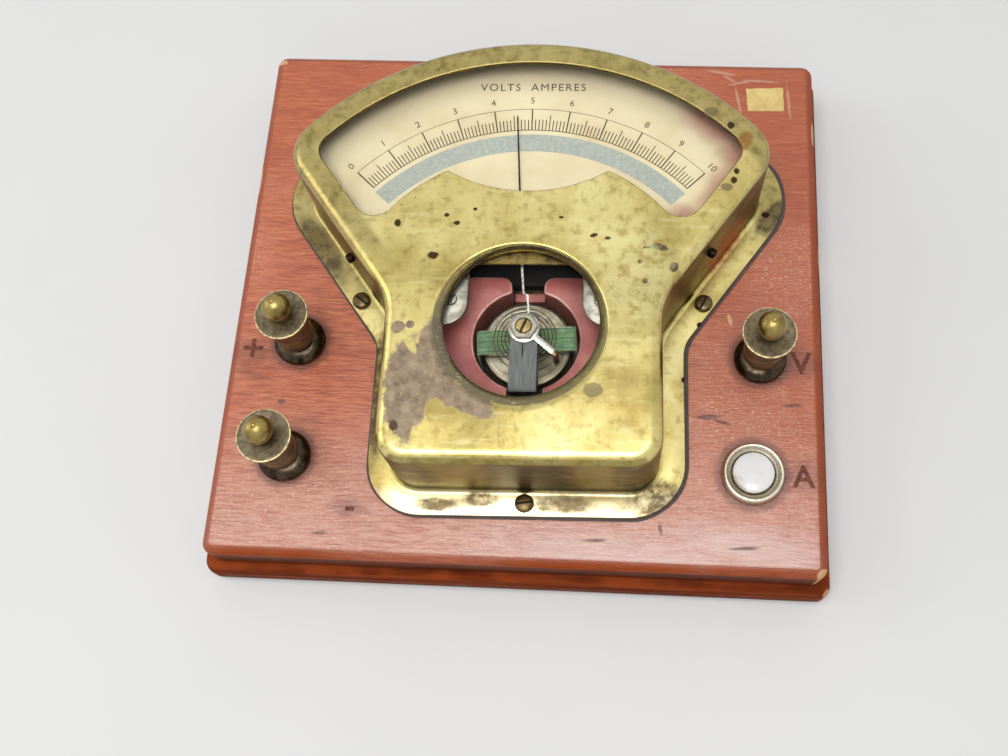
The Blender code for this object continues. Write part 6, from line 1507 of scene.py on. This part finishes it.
# Under the board

def hookup_runs():
    left, right = POSTS["1"], POSTS["3"]
    return (
        ((left.x + 4.6, left.y, -16.8), (-40, -6, -17.2), (-18, -12, -17), (-8, -24, -16)),
        ((right.x - 5, right.y, -16.8), (58, -4, -17.4), (44, 6, -17.4), (40, 7.4, -16.4)),
        ((40, 32.8, -16.4), (30, 36, -17.4), (12, 10, -17.4), (6, -6, -16)),
        ((BUTTON.x - 5, BUTTON.y + 24, -16.9), (52, -24, -17.4), (30, -30, -17.4), (12, -28, -16)),
    )


def make_under_parts():
    meshes = []
    for post in POSTS.values():
        nut = slab(circle((0, 0), 4, 6), -15.6, -13.5, 0.2)
        meshes.append(mesh_from(nut, 30, at(post.x, post.y)))
    joined("post_locknuts", meshes, WOOD, "inner_brass")
    wires = []
    for run in hookup_runs():
        flat, heights = softened([(x, y) for x, y, _ in run], 3), softened([(z, 0) for _, _, z in run], 3)
        wires.append(mesh_from(swept([(*point, height[0]) for point, height in zip(flat, heights)], 0.7)))
    joined("hookup_wires", wires, WOOD, "wire_cotton")
    make_resistor()
    screws = SCREWS.mesh(
        "screw_bronze", STAND @ at(0, -7.25, -2.35),
        Spread_X=60.8, Spread_Y=57.1, Head_Radius=1.7, Head_Height=0.7, Slot_Width=0.4, Slot_Depth=0.5, Seed=3,
    )
    shown("movement_screws", screws, "screw_bronze")


def make_resistor():
    wire, per_turn = 0.34, 16
    middle = middle_of("resistor_winding") / MM
    low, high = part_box("resistor_winding")
    around, reach = ((high[axis] - low[axis]) / 2 / MM - wire for axis in (0, 1))
    steps = int(reach * 2 / 0.7) * per_turn
    path = []
    for index in range(steps + 1):
        x, z = polar(around, 360 / per_turn * index)
        path.append((x, reach * (2 * index / steps - 1), z))
    place = BENCH @ at(*middle)
    piece("resistor_turns", swept(path, wire, 6), place, "resistor_silk", "resistor_winding", sharp_deg=70)


def paint_frame_pieces():
    """Gives each remaining frame piece the finish of its slot."""
    slots = {row["node"]: row["material_slot"] for row in frame["record"]["subparts"]}
    for node, obj in frame["nodes"].items():
        for slot in obj.material_slots:
            slot.material = FINISHES[slots[node]]


# Studio

def make_floor():
    paint = Paint("pale_floor", Roughness=0.9, Specular_IOR_Level=0.1)
    mesh = bpy.data.meshes.new("floor")
    mesh.from_pydata([(-5, -5, -0.0002), (5, -5, -0.0002), (5, 5, -0.0002), (-5, 5, -0.0002)], [], [(0, 1, 2, 3)])
    mesh.materials.append(paint.done(paint.place().noise(0.02).mix((0.955, 0.955, 0.955), (0.975, 0.975, 0.97))))
    linked("floor", mesh)


def make_world():
    """Soft light all round, with a brighter surrounding for the camera, the shine and the glass."""
    world = bpy.data.worlds.new("studio")
    bpy.context.scene.world = world
    world.use_nodes = True
    tree = world.node_tree
    camera, glossy, through = (
        add(tree, "ShaderNodeLightPath", (), f"Is {kind} Ray") for kind in ("Camera", "Glossy", "Transmission")
    )
    light, pale = (add(tree, "ShaderNodeBackground", ((1, 1, 1, 1), strength)) for strength in (0.36, 0.82))
    mixed = add(tree, "ShaderNodeMixShader", (camera.max(glossy).max(through), light, pale))
    put(tree.nodes["World Output"].inputs["Surface"], mixed)


def make_lamp(name, location, target, size_x, size_y, watts):
    lamp = bpy.data.lights.new(name, "AREA")
    lamp.shape = "RECTANGLE"
    lamp.size = size_x
    lamp.size_y = size_y
    lamp.energy = watts
    obj = linked(name, lamp)
    obj.location = location
    obj.rotation_euler = (Vector(target) - Vector(location)).to_track_quat("-Z", "Y").to_euler()


def make_camera():
    right = Vector((0.9982, 0.0476, -0.0365)).normalized()
    back = Vector((0.0502, -0.3322, 0.9419)).normalized()
    up = back.cross(right)
    camera = bpy.data.cameras.new("camera")
    camera.lens = 38.594
    camera.sensor_width = 36
    camera.shift_x = -0.0605
    camera.clip_start = 0.001
    obj = linked("camera", camera)
    turn = Matrix((up.cross(back), up, back)).transposed().to_4x4()
    obj.matrix_world = at(0.02908, -0.13435, 0.32611) @ turn
    bpy.context.scene.camera = obj


def main():
    for make in (
        make_board, make_plinth, make_label, make_stamps, make_bottom_screws, make_cover, make_gasket,
        make_cover_screws, make_side_screws, make_scale_plate, make_card, make_magnet, make_core, make_coil,
        make_hairsprings, make_bridge, make_jewel, make_lever,
    ):
        make()
    for name, post in POSTS.items():
        make_post(name, wood_place(post))
    make_button()
    make_under_parts()
    paint_frame_pieces()
    make_floor()
    make_world()
    make_lamp("overhead", (-0.06, -0.2, 1.1), (-0.06, -0.2, 0), 0.66, 0.56, 6.2)
    make_lamp("left_fill", (-1, 0.1, 0.6), (0, 0, 0), 0.6, 0.6, 1.6)
    make_camera()
    bpy.context.scene.view_settings.view_transform = "Standard"


main()
